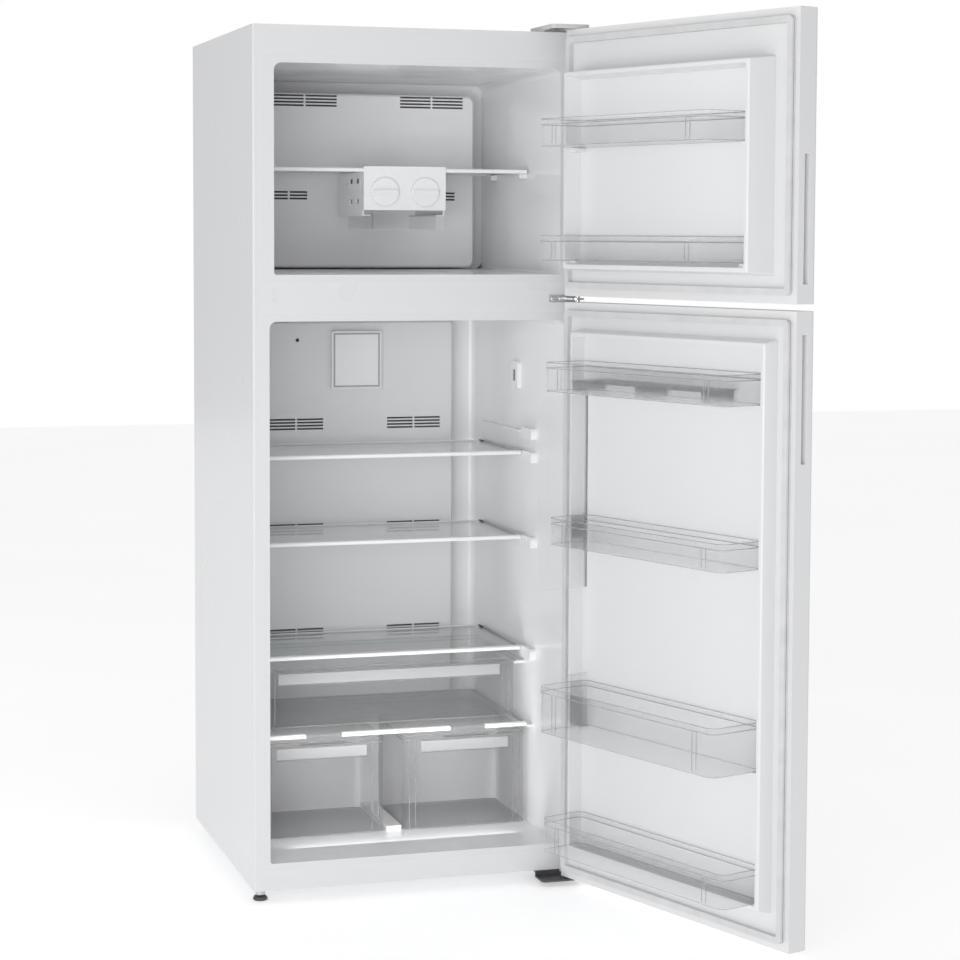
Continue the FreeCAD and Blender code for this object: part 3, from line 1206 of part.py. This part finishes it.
def main():
    os.makedirs("parts", exist_ok=True)
    make_casing()
    make_back_panel()
    make_insulation()
    make_fridge_liner()
    make_freezer_liner()
    make_base()
    make_feet_and_rollers()
    make_compressor()
    make_condenser()
    make_evaporator()
    make_fan()
    make_freezer_panel()
    make_fridge_duct()
    make_small_covers()
    make_rear_grille()
    make_hinges()
    make_hinge_cover()
    make_doors()
    make_shelves()
    make_drawers()
    make_ice_maker()


main()
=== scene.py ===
"""Looks, light and camera for the top-freezer refrigerator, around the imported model."""
import json
import math

import bmesh
import bpy
from mathutils import Matrix, Vector


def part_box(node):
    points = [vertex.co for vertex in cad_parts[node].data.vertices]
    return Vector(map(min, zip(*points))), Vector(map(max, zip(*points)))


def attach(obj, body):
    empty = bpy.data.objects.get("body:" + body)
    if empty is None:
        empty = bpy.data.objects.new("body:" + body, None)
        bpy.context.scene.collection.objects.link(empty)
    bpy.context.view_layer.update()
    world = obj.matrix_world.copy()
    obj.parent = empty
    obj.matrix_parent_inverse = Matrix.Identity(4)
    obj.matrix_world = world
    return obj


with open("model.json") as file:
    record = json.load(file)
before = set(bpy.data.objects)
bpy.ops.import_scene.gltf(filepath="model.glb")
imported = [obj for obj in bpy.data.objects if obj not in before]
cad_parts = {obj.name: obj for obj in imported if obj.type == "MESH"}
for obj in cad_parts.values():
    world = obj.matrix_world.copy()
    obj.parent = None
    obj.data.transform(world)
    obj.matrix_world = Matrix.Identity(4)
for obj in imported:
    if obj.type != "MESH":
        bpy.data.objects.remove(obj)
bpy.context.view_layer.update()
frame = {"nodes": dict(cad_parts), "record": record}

NODES = frame["nodes"]
MM = 0.001
WHITE = (1.0, 1.0, 1.0, 1.0)
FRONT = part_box("outer_casing")[0][1]        # the cabinet's front plane


# ---- materials ----
class Graph:
    """Short names for building a node tree in object coordinates."""

    def __init__(self, name):
        self.material = bpy.data.materials.new(name)
        self.material.use_nodes = True
        self.tree = self.material.node_tree
        self.tree.nodes.clear()
        self.shader = self.node("ShaderNodeBsdfPrincipled")
        output = self.node("ShaderNodeOutputMaterial")
        self.link(self.shader.outputs["BSDF"], output.inputs["Surface"])
        self.place = self.node("ShaderNodeTexCoord").outputs["Object"]

    def node(self, kind):
        return self.tree.nodes.new(kind)

    def link(self, a, b):
        self.tree.links.new(a, b)

    def noise(self, scale, detail, stretch=None):
        texture = self.node("ShaderNodeTexNoise")
        texture.inputs["Scale"].default_value = scale
        texture.inputs["Detail"].default_value = detail
        place = self.place
        if stretch:
            mapping = self.node("ShaderNodeMapping")
            mapping.inputs["Scale"].default_value = stretch
            self.link(place, mapping.inputs["Vector"])
            place = mapping.outputs["Vector"]
        self.link(place, texture.inputs["Vector"])
        return texture.outputs["Fac"]

    def colours(self, factor, low, high, start=0.3, end=0.7):
        ramp = self.node("ShaderNodeValToRGB")
        ramp.color_ramp.elements[0].position = start
        ramp.color_ramp.elements[1].position = end
        ramp.color_ramp.elements[0].color = (*low, 1.0)
        ramp.color_ramp.elements[1].color = (*high, 1.0)
        self.link(factor, ramp.inputs["Fac"])
        return ramp.outputs["Color"]

    def remap(self, factor, low, high, start=0.3, end=0.7):
        remap = self.node("ShaderNodeMapRange")
        remap.inputs["From Min"].default_value = start
        remap.inputs["From Max"].default_value = end
        remap.inputs["To Min"].default_value = low
        remap.inputs["To Max"].default_value = high
        self.link(factor, remap.inputs["Value"])
        return remap.outputs["Result"]

    def bump(self, height, strength, distance):
        bump = self.node("ShaderNodeBump")
        bump.inputs["Strength"].default_value = strength
        bump.inputs["Distance"].default_value = distance
        self.link(height, bump.inputs["Height"])
        self.link(bump.outputs["Normal"], self.shader.inputs["Normal"])

    def set(self, **values):
        for name, value in values.items():
            self.shader.inputs[name.replace("_", " ")].default_value = value


SOFT = (0.3, 0.7)           # how much of the noise's range a change of colour takes
SMOOTH = (0.0, 1.0)         # all of it, so that patches of colour have no edges


def surface(name, low, high, rough, patch, grain, strength, depth, stretch=None, spread=SOFT,
            **fixed):
    """A solid material: two close colours in soft patches, uneven gloss and fine relief.

    patch and grain are the noise's scales per metre, and depth is the relief's in metres.
    """
    g = Graph(name)
    g.link(g.colours(g.noise(patch, 1.0, stretch), low, high, *spread),
           g.shader.inputs["Base Color"])
    g.link(g.remap(g.noise(patch * 4, 1.0, stretch), *rough, *spread),
           g.shader.inputs["Roughness"])
    g.bump(g.noise(grain, 2.0, stretch), strength, depth)
    g.set(**fixed)
    return g.material


def liner(name, front, inner, rough):
    """The liner's plastic with painted light: darker on the front frame, like the lit casing, and
    whiter in the shaded inside.
    """
    frame_end = FRONT + 0.5 * MM
    inside_start = FRONT + 4 * MM
    g = Graph(name)
    split = g.node("ShaderNodeSeparateXYZ")
    g.link(g.place, split.inputs["Vector"])
    # Painted light mask: 0 on the front frame, 0.9 inside, lightening the inside against its
    # shade.
    inside = g.remap(split.outputs["Y"], 0.0, 0.9, frame_end, inside_start)
    tone_and_painted_light = g.node("ShaderNodeMath")
    tone_and_painted_light.operation = "MULTIPLY_ADD"
    tone_and_painted_light.inputs[1].default_value = 0.1
    g.link(g.noise(2.0, 1.0), tone_and_painted_light.inputs[0])
    g.link(inside, tone_and_painted_light.inputs[2])
    g.link(g.colours(tone_and_painted_light.outputs[0], front, inner, 0.0, 1.0), g.shader.inputs["Base Color"])
    g.link(g.remap(g.noise(8.0, 1.0), *rough), g.shader.inputs["Roughness"])
    g.bump(g.noise(40.0, 2.0), 0.02, 0.0003)
    return g.material


def clear(name, low, high, rough, ior, thin, edge):
    """A see-through material, its alpha thin face on and edge where a wall is seen edgeways."""
    patch = 14.0
    g = Graph(name)
    g.link(g.colours(g.noise(patch, 1.0), low, high), g.shader.inputs["Base Color"])
    g.link(g.remap(g.noise(patch * 4, 1.0), *rough), g.shader.inputs["Roughness"])
    g.bump(g.noise(60.0, 2.0), 0.05, 0.0004)
    facing = g.node("ShaderNodeLayerWeight")
    facing.inputs["Blend"].default_value = 0.5
    g.link(g.remap(facing.outputs["Facing"], thin, edge, 0.45, 1.0), g.shader.inputs["Alpha"])
    g.set(IOR=ior, Transmission_Weight=0.4)
    return g.material


MATERIALS = {
    "white_steel": surface("white_steel", (0.705, 0.712, 0.725), (0.72, 0.727, 0.74),
                           (0.26, 0.31), 2.0, 70.0, 0.03, 0.0001, spread=SMOOTH,
                           Coat_Weight=0.15, Coat_Roughness=0.1),
    # The liner: painted darker on its front frame and whiter inside, as painted light.
    "liner_white": liner("liner_white", (0.70, 0.707, 0.72), (0.925, 0.928, 0.935),
                         (0.14, 0.2)),
    "trim_white": surface("trim_white", (0.90, 0.905, 0.91), (0.92, 0.925, 0.93),
                          (0.28, 0.36), 10.0, 120.0, 0.02, 0.0001, spread=SMOOTH),
    # Painted shade: the air duct panels are white plastic, painted greyer for the shade on them.
    "panel_white": surface("panel_white", (0.74, 0.75, 0.765), (0.755, 0.765, 0.78),
                           (0.32, 0.42), 3.0, 120.0, 0.03, 0.0001, spread=SMOOTH),
    "ice_white": surface("ice_white", (0.86, 0.87, 0.88), (0.88, 0.885, 0.895),
                         (0.26, 0.30), 2.0, 50.0, 0.01, 0.0001, spread=SMOOTH),
    "grey_plastic": surface("grey_plastic", (0.40, 0.41, 0.42), (0.46, 0.465, 0.475),
                            (0.38, 0.5), 30.0, 1800.0, 0.15, 0.0001),
    "dark_plastic": surface("dark_plastic", (0.045, 0.046, 0.05), (0.075, 0.076, 0.08),
                            (0.4, 0.55), 40.0, 1800.0, 0.25, 0.00012),
    "seal_grey": surface("seal_grey", (0.62, 0.625, 0.63), (0.68, 0.685, 0.69),
                         (0.5, 0.62), 25.0, 2400.0, 0.12, 0.00008),
    "foam": surface("foam", (0.70, 0.62, 0.36), (0.80, 0.73, 0.47), (0.85, 0.95), 60.0, 260.0,
                    0.6, 0.001),
    "galvanised": surface("galvanised", (0.55, 0.565, 0.58), (0.61, 0.62, 0.635),
                          (0.36, 0.46), 22.0, 700.0, 0.08, 0.0001, Metallic=0.7),
    "zinc_steel": surface("zinc_steel", (0.55, 0.555, 0.56), (0.68, 0.685, 0.69),
                          (0.25, 0.38), 80.0, 900.0, 0.12, 0.0001, stretch=(1.0, 1.0, 12.0),
                          Metallic=1.0),
    "compressor_black": surface("compressor_black", (0.012, 0.012, 0.013),
                                (0.03, 0.03, 0.032), (0.3, 0.45), 30.0, 500.0, 0.2, 0.0003),
    "coil_dark": surface("coil_dark", (0.03, 0.03, 0.033), (0.07, 0.07, 0.073),
                         (0.45, 0.6), 50.0, 900.0, 0.2, 0.0002),
    "bare_aluminium": surface("bare_aluminium", (0.62, 0.63, 0.65), (0.76, 0.765, 0.78),
                              (0.3, 0.42), 40.0, 900.0, 0.12, 0.0001, Metallic=1.0),
    "clear_plastic": clear("clear_plastic", (0.86, 0.87, 0.89), (0.89, 0.90, 0.915),
                           (0.03, 0.08), 1.46, 0.07, 0.4),
    "shelf_glass": clear("shelf_glass", (0.80, 0.85, 0.84), (0.83, 0.88, 0.87),
                         (0.005, 0.03), 1.5, 0.12, 0.6),
}
# Painted shade: the door liners and trims, the liner's white plastic painted darker against the
# front lamp falling full on them.
DOOR_SHADED_WHITE = surface("door_liner_painted_shade", (0.76, 0.765, 0.775), (0.775, 0.78, 0.79), (0.2, 0.27),
                     2.0, 60.0, 0.03, 0.0002, spread=SMOOTH)
# The freezer's air panel: a lighter copy of the duct panels' white, with less painted shade.
COWL_WHITE = surface("cowl_white", (0.87, 0.875, 0.885), (0.885, 0.89, 0.90), (0.32, 0.42), 3.0,
                     120.0, 0.03, 0.0001, spread=SMOOTH)
# Painted shade: a grey, more opaque copy of the clear plastic for the beads and ribs, for the
# dark lines along the clear plastic's edges.
EDGE_SHADE_GREY = clear("edge_painted_shade", (0.58, 0.585, 0.62), (0.63, 0.635, 0.67), (0.1, 0.18), 1.46, 0.5,
                  0.85)
FROSTED = clear("frosted", (0.90, 0.905, 0.915), (0.92, 0.925, 0.935), (0.3, 0.4), 1.46, 0.45,
                0.7)
# Painted shade: dark grey for the hollows behind the air slots and inside the sensor's slot.
VENT_SHADE_GREY = surface("vent_painted_shade", (0.17, 0.175, 0.185), (0.22, 0.225, 0.235), (0.4, 0.5), 60.0,
                    1800.0, 0.15, 0.0001)
MODULE_WHITE = surface("module_white", (0.84, 0.85, 0.86), (0.86, 0.87, 0.88), (0.2, 0.3), 12.0,
                       120.0, 0.03, 0.0001, spread=SMOOTH)
COVER_GREY = surface("cover_grey", (0.60, 0.605, 0.61), (0.64, 0.645, 0.65), (0.38, 0.5), 30.0,
                     300.0, 0.1, 0.0001)
# Painted shade: dark grey for the light module's rim.
MODULE_RIM_SHADE = surface("module_rim_painted_shade", (0.36, 0.37, 0.385), (0.40, 0.41, 0.425), (0.3, 0.4), 40.0,
                      1500.0, 0.1, 0.00008)
GLASS_EDGE = surface("glass_edge", (0.10, 0.125, 0.12), (0.16, 0.19, 0.18), (0.08, 0.16), 90.0,
                     600.0, 0.05, 0.0001)

SLOTS = {part["node"]: part["material_slot"] for part in frame["record"]["subparts"]}
SHADES = {"freezer_door_liner": DOOR_SHADED_WHITE, "fridge_door_liner": DOOR_SHADED_WHITE,
          "freezer_door_trim": DOOR_SHADED_WHITE, "fridge_door_trim": DOOR_SHADED_WHITE,
          "freezer_air_panel": COWL_WHITE, "light_cover": MODULE_WHITE,
          "top_hinge_cover": COVER_GREY}
for name, obj in NODES.items():
    obj.data.materials.clear()
    obj.data.materials.append(SHADES.get(name, MATERIALS[SLOTS[name]]))


# ---- detail pieces ----
PIN_X = 333 * MM
PIN_REACH = 34 * MM             # the hinge pins' distance in front of the cabinet
PIN = Vector((PIN_X, FRONT - PIN_REACH, 0.0))
DOOR_OPEN = math.radians(109.3)
OPEN = Matrix.Translation(PIN) @ Matrix.Rotation(DOOR_OPEN, 4, "Z") @ Matrix.Translation(-PIN)


def block(mesh, low, high, bevel=0.0, turn=None):
    """Adds a box to the mesh, its edges rounded, turned about its middle when asked."""
    made = bmesh.ops.create_cube(mesh, size=1.0)
    middle = (Vector(low) + Vector(high)) / 2
    size = Vector(high) - Vector(low)
    place = Matrix.Translation(middle)
    if turn:
        place = place @ turn
    bmesh.ops.transform(mesh, verts=made["verts"],
                        matrix=place @ Matrix.Diagonal((*size, 1.0)))
    if bevel:
        edges = list({edge for vert in made["verts"] for edge in vert.link_edges})
        bmesh.ops.bevel(mesh, geom=edges, offset=bevel, segments=2, affect="EDGES",
                        clamp_overlap=True)


def piece(name, mesh, material, body, place=None):
    """Finishes a mesh as a piece that rides on a body."""
    if place:
        bmesh.ops.transform(mesh, verts=mesh.verts, matrix=place)
    bmesh.ops.recalc_face_normals(mesh, faces=mesh.faces)
    data = bpy.data.meshes.new(name)
    mesh.to_mesh(data)
    mesh.free()
    data.materials.append(material)
    obj = bpy.data.objects.new(name, data)
    bpy.context.scene.collection.objects.link(obj)
    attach(obj, body)


# Louvres and a closed back behind the air slots of both compartments, dark grey as painted shade
# for the hollow duct behind the slots.
VENT_PITCH = 7.2 * MM
VENT_POST = 4.0 * MM
PANEL_WALL = 3.0 * MM
VENT_DEPTH = 5 * MM             # from the panel's back to the closed back
VENT_LAP = 1 * MM               # how far a slat goes past its slot on each side
SLAT_LEAN = math.radians(35.0)


def louvre(mesh, x0, width, z, face, rows):
    """A sloped slat behind each slot, in front of a closed back."""
    lean = Matrix.Rotation(SLAT_LEAN, 4, "X")
    left, right = x0 - VENT_LAP, x0 + width + VENT_LAP
    tall = rows * VENT_PITCH
    front = face + PANEL_WALL
    back = front + VENT_DEPTH
    block(mesh, (left, back, z - tall / 2), (right, back + 1 * MM, z + tall / 2))
    for row in range(rows):
        level = z + (row + 0.5 - rows / 2) * VENT_PITCH
        block(mesh, (left, front + 0.6 * MM, level - 0.5 * MM),
              (right, back - 0.4 * MM, level + 0.5 * MM), 0.2 * MM, lean)


def louvre_pairs(name, face, vents):
    """Louvres for pairs of vents, each vent two columns of slots with a post between."""
    mesh = bmesh.new()
    for inner, width, z, rows, shift in vents:
        full = 2 * width + VENT_POST
        for x0 in (shift + inner, shift - inner - full):
            louvre(mesh, x0, width, z, face, rows)
            louvre(mesh, x0 + width + VENT_POST, width, z, face, rows)
    piece(name, mesh, VENT_SHADE_GREY, "cabinet")


# Each vent: its distance from the middle, a slot's width, its level, its rows and its shift in x.
FRIDGE_VENT_TOP = 943.0
FRIDGE_VENT_STEP = 240.5
louvre_pairs("fridge_vent_louvres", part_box("fridge_air_duct")[0][1],
             [(75 * MM, 61 * MM, (FRIDGE_VENT_TOP - FRIDGE_VENT_STEP * i) * MM, 4, 0.0)
              for i in range(3)])
FREEZER_PANEL_DEPTH = 470 * MM
louvre_pairs("freezer_vent_louvres", FRONT + FREEZER_PANEL_DEPTH,
             [(73 * MM, 71.5 * MM, 1670 * MM, 4, 11.5 * MM),
              (129 * MM, 40 * MM, 1460 * MM, 3, 0.0)])


ROUNDED = 0.4 * MM              # the edges of ribs, rims and slots


def ring(mesh, low, high, wide, deep):
    """A square rim on a front face, inside its low and high corners."""
    x0, y, z0 = low
    x1, _, z1 = high
    for left, right, bottom, top in ((x0, x1, z0, z0 + wide), (x0, x1, z1 - wide, z1),
                                     (x0, x0 + wide, z0 + wide, z1 - wide),
                                     (x1 - wide, x1, z0 + wide, z1 - wide)):
        block(mesh, (left, y - deep, bottom), (right, y + deep, top), ROUNDED)


# The light module's rim, dark grey as painted shade for the module's darker edges and recess.
low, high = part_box("light_cover")
mesh = bmesh.new()
RIM_INSET = 4 * MM
RIM_WIDTH = 3.5 * MM
RIM_DEPTH = 0.8 * MM
ring(mesh, (low[0] + RIM_INSET, low[1], low[2] + RIM_INSET),
     (high[0] - RIM_INSET, low[1], high[2] - RIM_INSET), RIM_WIDTH, RIM_DEPTH)
piece("light_module_rim", mesh, MODULE_RIM_SHADE, "cabinet")

# The sensor's slot, dark grey as painted shade for its opening, with three slats across it.
low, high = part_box("sensor_cover")
mesh = bmesh.new()
middle_y = (low[1] + high[1]) / 2
middle_z = (low[2] + high[2]) / 2
block(mesh, (low[0] - 0.5 * MM, middle_y - 6 * MM, middle_z - 13 * MM),
      (low[0] + 1 * MM, middle_y + 6 * MM, middle_z + 13 * MM), 0.6 * MM)
SLAT_PITCH = 7 * MM
for i in (-1, 0, 1):
    z = middle_z + i * SLAT_PITCH
    block(mesh, (low[0] - 1.1 * MM, middle_y - 5 * MM, z - 1 * MM),
          (low[0], middle_y + 5 * MM, z + 1 * MM), ROUNDED)
piece("sensor_slot", mesh, VENT_SHADE_GREY, "cabinet")

# Ground glass edges and the clips at the rear corners of each shelf.
TRIM_DEPTH = 13 * MM            # how far back the front trim covers the glass
EDGE_OUT = 0.2 * MM
EDGE_IN = 1.2 * MM
CLIP_WIDTH = 5.4 * MM
for shelf, body in (("top_shelf", "top_shelf"), ("middle_shelf", "middle_shelf"),
                    ("low_shelf", "low_shelf"), ("freezer_shelf", "freezer_shelf"),
                    ("crisper_cover", "cabinet")):
    low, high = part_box(shelf + "_glass")
    edges = bmesh.new()
    clips = bmesh.new()
    for x0, x1 in ((low[0] - EDGE_OUT, low[0] + EDGE_IN),
                   (high[0] - EDGE_IN, high[0] + EDGE_OUT)):
        block(edges, (x0, low[1] + TRIM_DEPTH, low[2] - 0.15 * MM),
              (x1, high[1] - 1 * MM, high[2] + 0.15 * MM), 0.3 * MM)
        start = x0 - 4 * MM if x0 > 0 else x0
        block(clips, (start, high[1] - 30 * MM, high[2] - 0.5 * MM),
              (start + CLIP_WIDTH, high[1] - 4 * MM, high[2] + 2.2 * MM), 0.8 * MM)
        block(clips, (start, high[1] - 26 * MM, low[2] - 1.6 * MM),
              (start + CLIP_WIDTH, high[1] - 8 * MM, low[2] + 0.5 * MM), 0.6 * MM)
    piece(shelf + "_edges", edges, GLASS_EDGE, body)
    piece(shelf + "_clips", clips, MATERIALS["dark_plastic"], body)


CORNER_STEPS = 6
BEAD = 0.9 * MM                 # half a bead's height


def outline(xs, ys, radius):
    """The points of a rectangle with rounded corners, anticlockwise."""
    points = []
    for corner, (sx, sy) in enumerate(((1, 1), (-1, 1), (-1, -1), (1, -1))):
        cx = xs[1] - radius if sx > 0 else xs[0] + radius
        cy = ys[1] - radius if sy > 0 else ys[0] + radius
        for step in range(CORNER_STEPS + 1):
            angle = math.radians(90.0 * (corner + step / CORNER_STEPS))
            points.append((cx + radius * math.cos(angle), cy + radius * math.sin(angle)))
    return points


def bead(mesh, xs, ys, radius, z):
    """A thin moulded bead round a tray at one height, diamond-shaped in section."""
    rings = []
    for grow, lift in ((0.0, -BEAD), (BEAD * 0.7, 0.0), (0.0, BEAD), (-BEAD * 0.7, 0.0)):
        points = outline((xs[0] - grow, xs[1] + grow), (ys[0] - grow, ys[1] + grow),
                         radius + grow)
        rings.append([mesh.verts.new((x, y, z + lift)) for x, y in points])
    count = len(rings[0])
    for i, a in enumerate(rings):
        b = rings[(i + 1) % len(rings)]
        for k in range(count):
            n = (k + 1) % count
            mesh.faces.new((a[k], a[n], b[n], b[k]))


# Ribs down the front of each door bin, beads round it and the bottle bin's divider, placed with
# the door shut and then turned with it. Each bin has its margin from the door's edge, its reach
# into the cabinet, its height and its floor, in millimetres.
DOOR_INNER = -12.0              # the door panel's inner face, from the cabinet's front
DOOR_HALF = 348.0               # half the door's width
BIN_RIM = 1.2                   # how far a bin's rim stands out
BIN_LIP = 12                    # the height of the band below its top edge
BIN_CORNER = 18 * MM
RIB_INSETS = (46.0, 58.0)
BINS = {
    "freezer_bin_upper": (94.0, 147.0, 56.0, 1552.0),
    "freezer_bin_lower": (94.0, 147.0, 51.0, 1323.0),
    "egg_bin": (73.0, 113.0, 60.0, 1056.0),
    "adjustable_bin": (83.0, 107.0, 55.0, 742.0),
    "bottle_bin": (80.0, 128.0, 95.0, 355.0),
    "bottom_bin": (69.0, 109.0, 68.0, 102.0),
}
FREEZER_BIN_BACK = 30.5         # the bins' backs, from the door panel's inner face
FRIDGE_BIN_BACK = 2.5
for name, (margin, reach, tall, floor) in BINS.items():
    mesh = bmesh.new()
    front = FRONT + (DOOR_INNER + reach - BIN_RIM) * MM
    for side in (-1, 1):
        for inset in RIB_INSETS:
            middle = side * (DOOR_HALF - margin - inset) * MM
            block(mesh, (middle - 0.9 * MM, front - 0.6 * MM, (floor + 5) * MM),
                  (middle + 0.9 * MM, front + 0.8 * MM, (floor + tall - BIN_LIP) * MM), ROUNDED)
    # The ribs carry the painted edge shade.
    piece(name + "_ribs", mesh, EDGE_SHADE_GREY, name, OPEN)
    mesh = bmesh.new()
    half = (DOOR_HALF - margin) * MM
    setback = FREEZER_BIN_BACK if name.startswith("freezer") else FRIDGE_BIN_BACK
    back = FRONT + (DOOR_INNER + setback) * MM
    rim = BIN_RIM * MM
    top = floor + tall
    for z, grow in ((top - 0.6, rim), (top - BIN_LIP, rim), (floor + 1, 0.0)):
        bead(mesh, (-half - grow, half + grow), (back, front + grow), BIN_CORNER, z * MM)
    # The beads carry the painted edge shade.
    piece(name + "_beads", mesh, EDGE_SHADE_GREY, name, OPEN)

# The drawers' beads, ribs and frosted bands. Each drawer has its front's distance behind the
# cabinet's, and how much narrower it is at the bottom on each side, in millimetres.
DRAWERS = {"chiller_drawer": (230.0, 5), "crisper_left": (200.0, 1), "crisper_right": (200.0, 1)}
DRAWER_CORNER = 14 * MM
DRAWER_RIB_GAP = 14 * MM
BAND_MARGIN = 40 * MM
for name, (setback, taper) in DRAWERS.items():
    low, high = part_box(name)
    mesh = bmesh.new()
    face = FRONT + setback * MM
    inward = taper * MM
    for z, inset in ((high[2] - 0.6 * MM, 0.0), (high[2] - 9 * MM, 0.0),
                     (low[2] + 1 * MM, inward)):
        bead(mesh, (low[0] + inset, high[0] - inset), (face, high[1] - 1 * MM), DRAWER_CORNER, z)
    first_rib = inward + DRAWER_CORNER
    for inset in (first_rib, first_rib + DRAWER_RIB_GAP):
        for middle in (low[0] + inset, high[0] - inset):
            block(mesh, (middle - 0.8 * MM, face - 0.5 * MM, low[2] + 2 * MM),
                  (middle + 0.8 * MM, face + 0.6 * MM, high[2] - 10 * MM), ROUNDED)
    left, right = low[0] + BAND_MARGIN, high[0] - BAND_MARGIN
    for z in (high[2] - 11 * MM, high[2] - 38 * MM, low[2] + 2 * MM):
        block(mesh, (left, face - 1.7 * MM, z - 0.9 * MM),
              (right, face - 0.9 * MM, z + 0.9 * MM), ROUNDED)
    # The drawers' beads and ribs carry the painted edge shade.
    piece(name + "_beads", mesh, EDGE_SHADE_GREY, name)
    mesh = bmesh.new()
    block(mesh, (left + 1 * MM, face - 1.8 * MM, high[2] - 36 * MM),
          (right - 1 * MM, face - 1.4 * MM, high[2] - 13 * MM), 0.2 * MM)
    piece(name + "_band", mesh, FROSTED, name)

# The bottle bin's divider: a thin wall with a thicker top.
DIVIDER_INSET = 38              # from the bin's end
DIVIDER_REACH = (28, 82)        # from the door panel's inner face
mesh = bmesh.new()
margin, _, tall, floor = BINS["bottle_bin"]
x = (DOOR_HALF - margin - DIVIDER_INSET) * MM
near, far = (FRONT + (DOOR_INNER + y) * MM for y in DIVIDER_REACH)
for half, bottom, top in ((1.2, 6, tall + 24), (2.2, tall + 20, tall + 25)):
    block(mesh, (x - half * MM, near, (floor + bottom) * MM),
          (x + half * MM, far, (floor + top) * MM), 0.8 * MM)
piece("bottle_divider", mesh, MATERIALS["clear_plastic"], "bottle_bin", OPEN)


# ---- stage ----
def stage_mesh(name, corners, faces, material):
    """A flat mesh that isn't part of the object."""
    mesh = bpy.data.meshes.new(name)
    mesh.from_pydata(corners, [], faces)
    obj = bpy.data.objects.new(name, mesh)
    bpy.context.scene.collection.objects.link(obj)
    mesh.materials.append(material)


floor_material = surface("studio_floor", (0.90, 0.90, 0.905), (0.92, 0.92, 0.925), (0.5, 0.6),
                         1.2, 300.0, 0.05, 0.0002, Emission_Color=WHITE,
                         Emission_Strength=0.42)
SIDE = 12.0                     # half the floor's side
stage_mesh("studio_floor",
           [(-SIDE, -SIDE, 0), (SIDE, -SIDE, 0), (SIDE, SIDE, 0), (-SIDE, SIDE, 0)],
           [(0, 1, 2, 3)], floor_material)

# ---- light ----
bpy.context.scene.view_settings.view_transform = "Standard"
AMBIENT = 0.56                  # the sky's strength as a light
BACKDROP = 1.0                  # and where the camera sees it
world = bpy.data.worlds.new("studio")
bpy.context.scene.world = world
world.use_nodes = True
tree = world.node_tree
tree.nodes.clear()
ambient = tree.nodes.new("ShaderNodeBackground")
ambient.inputs["Strength"].default_value = AMBIENT
backdrop = tree.nodes.new("ShaderNodeBackground")
backdrop.inputs["Strength"].default_value = BACKDROP
for shade in (ambient, backdrop):
    shade.inputs["Color"].default_value = WHITE
mix = tree.nodes.new("ShaderNodeMixShader")
tree.links.new(tree.nodes.new("ShaderNodeLightPath").outputs["Is Camera Ray"], mix.inputs["Fac"])
tree.links.new(ambient.outputs[0], mix.inputs[1])
tree.links.new(backdrop.outputs[0], mix.inputs[2])
tree.links.new(mix.outputs[0], tree.nodes.new("ShaderNodeOutputWorld").inputs["Surface"])


def soft_box(name, place, aim, width, height, power):
    """An area light aimed at a point, its size in metres and its power in watts."""
    light = bpy.data.lights.new(name, "AREA")
    light.shape = "RECTANGLE"
    light.size = width
    light.size_y = height
    light.energy = power
    obj = bpy.data.objects.new(name, light)
    obj.location = place
    obj.rotation_euler = (Vector(aim) - Vector(place)).to_track_quat("-Z", "Y").to_euler()
    bpy.context.scene.collection.objects.link(obj)
    return obj


soft_box("front_box", (-2.7, -4.9, 1.0), (0.0, 0.0, 0.8), 3.0, 2.0, 92.0)
soft_box("left_box", (-3.4, 1.0, 2.2), (-0.35, 0.0, 1.1), 2.0, 2.4, 9.0)

# Low fill lamps in front of the drawers, seen neither directly nor in reflections.
for name, place, aim, power in (
        ("crisper_fill", (0.0, FRONT + 0.10, 0.10), (0.0, FRONT + 0.5, 0.30), 0.45),
        ("chiller_fill", (0.0, FRONT + 0.13, 0.33), (0.0, FRONT + 0.5, 0.45), 0.35)):
    lamp = soft_box(name, place, aim, 0.5, 0.1, power)
    lamp.visible_camera = lamp.visible_glossy = lamp.visible_transmission = False

# ---- camera ----
CAMERA_PLACE = (-1.3488, -5.1615, 1.3806)
PAN = math.radians(-17.036)
TILT_DOWN = math.radians(4.038)
ROLL = math.radians(0.231)
camera = bpy.data.objects.new("camera", bpy.data.cameras.new("camera"))
bpy.context.scene.collection.objects.link(camera)
bpy.context.scene.camera = camera
camera.data.lens = 91.04
camera.data.sensor_width = 36.0
camera.data.shift_y = -0.08
camera.matrix_world = (Matrix.Translation(CAMERA_PLACE) @ Matrix.Rotation(PAN, 4, "Z")
                       @ Matrix.Rotation(math.pi / 2 - TILT_DOWN, 4, "X")
                       @ Matrix.Rotation(ROLL, 4, "Z"))
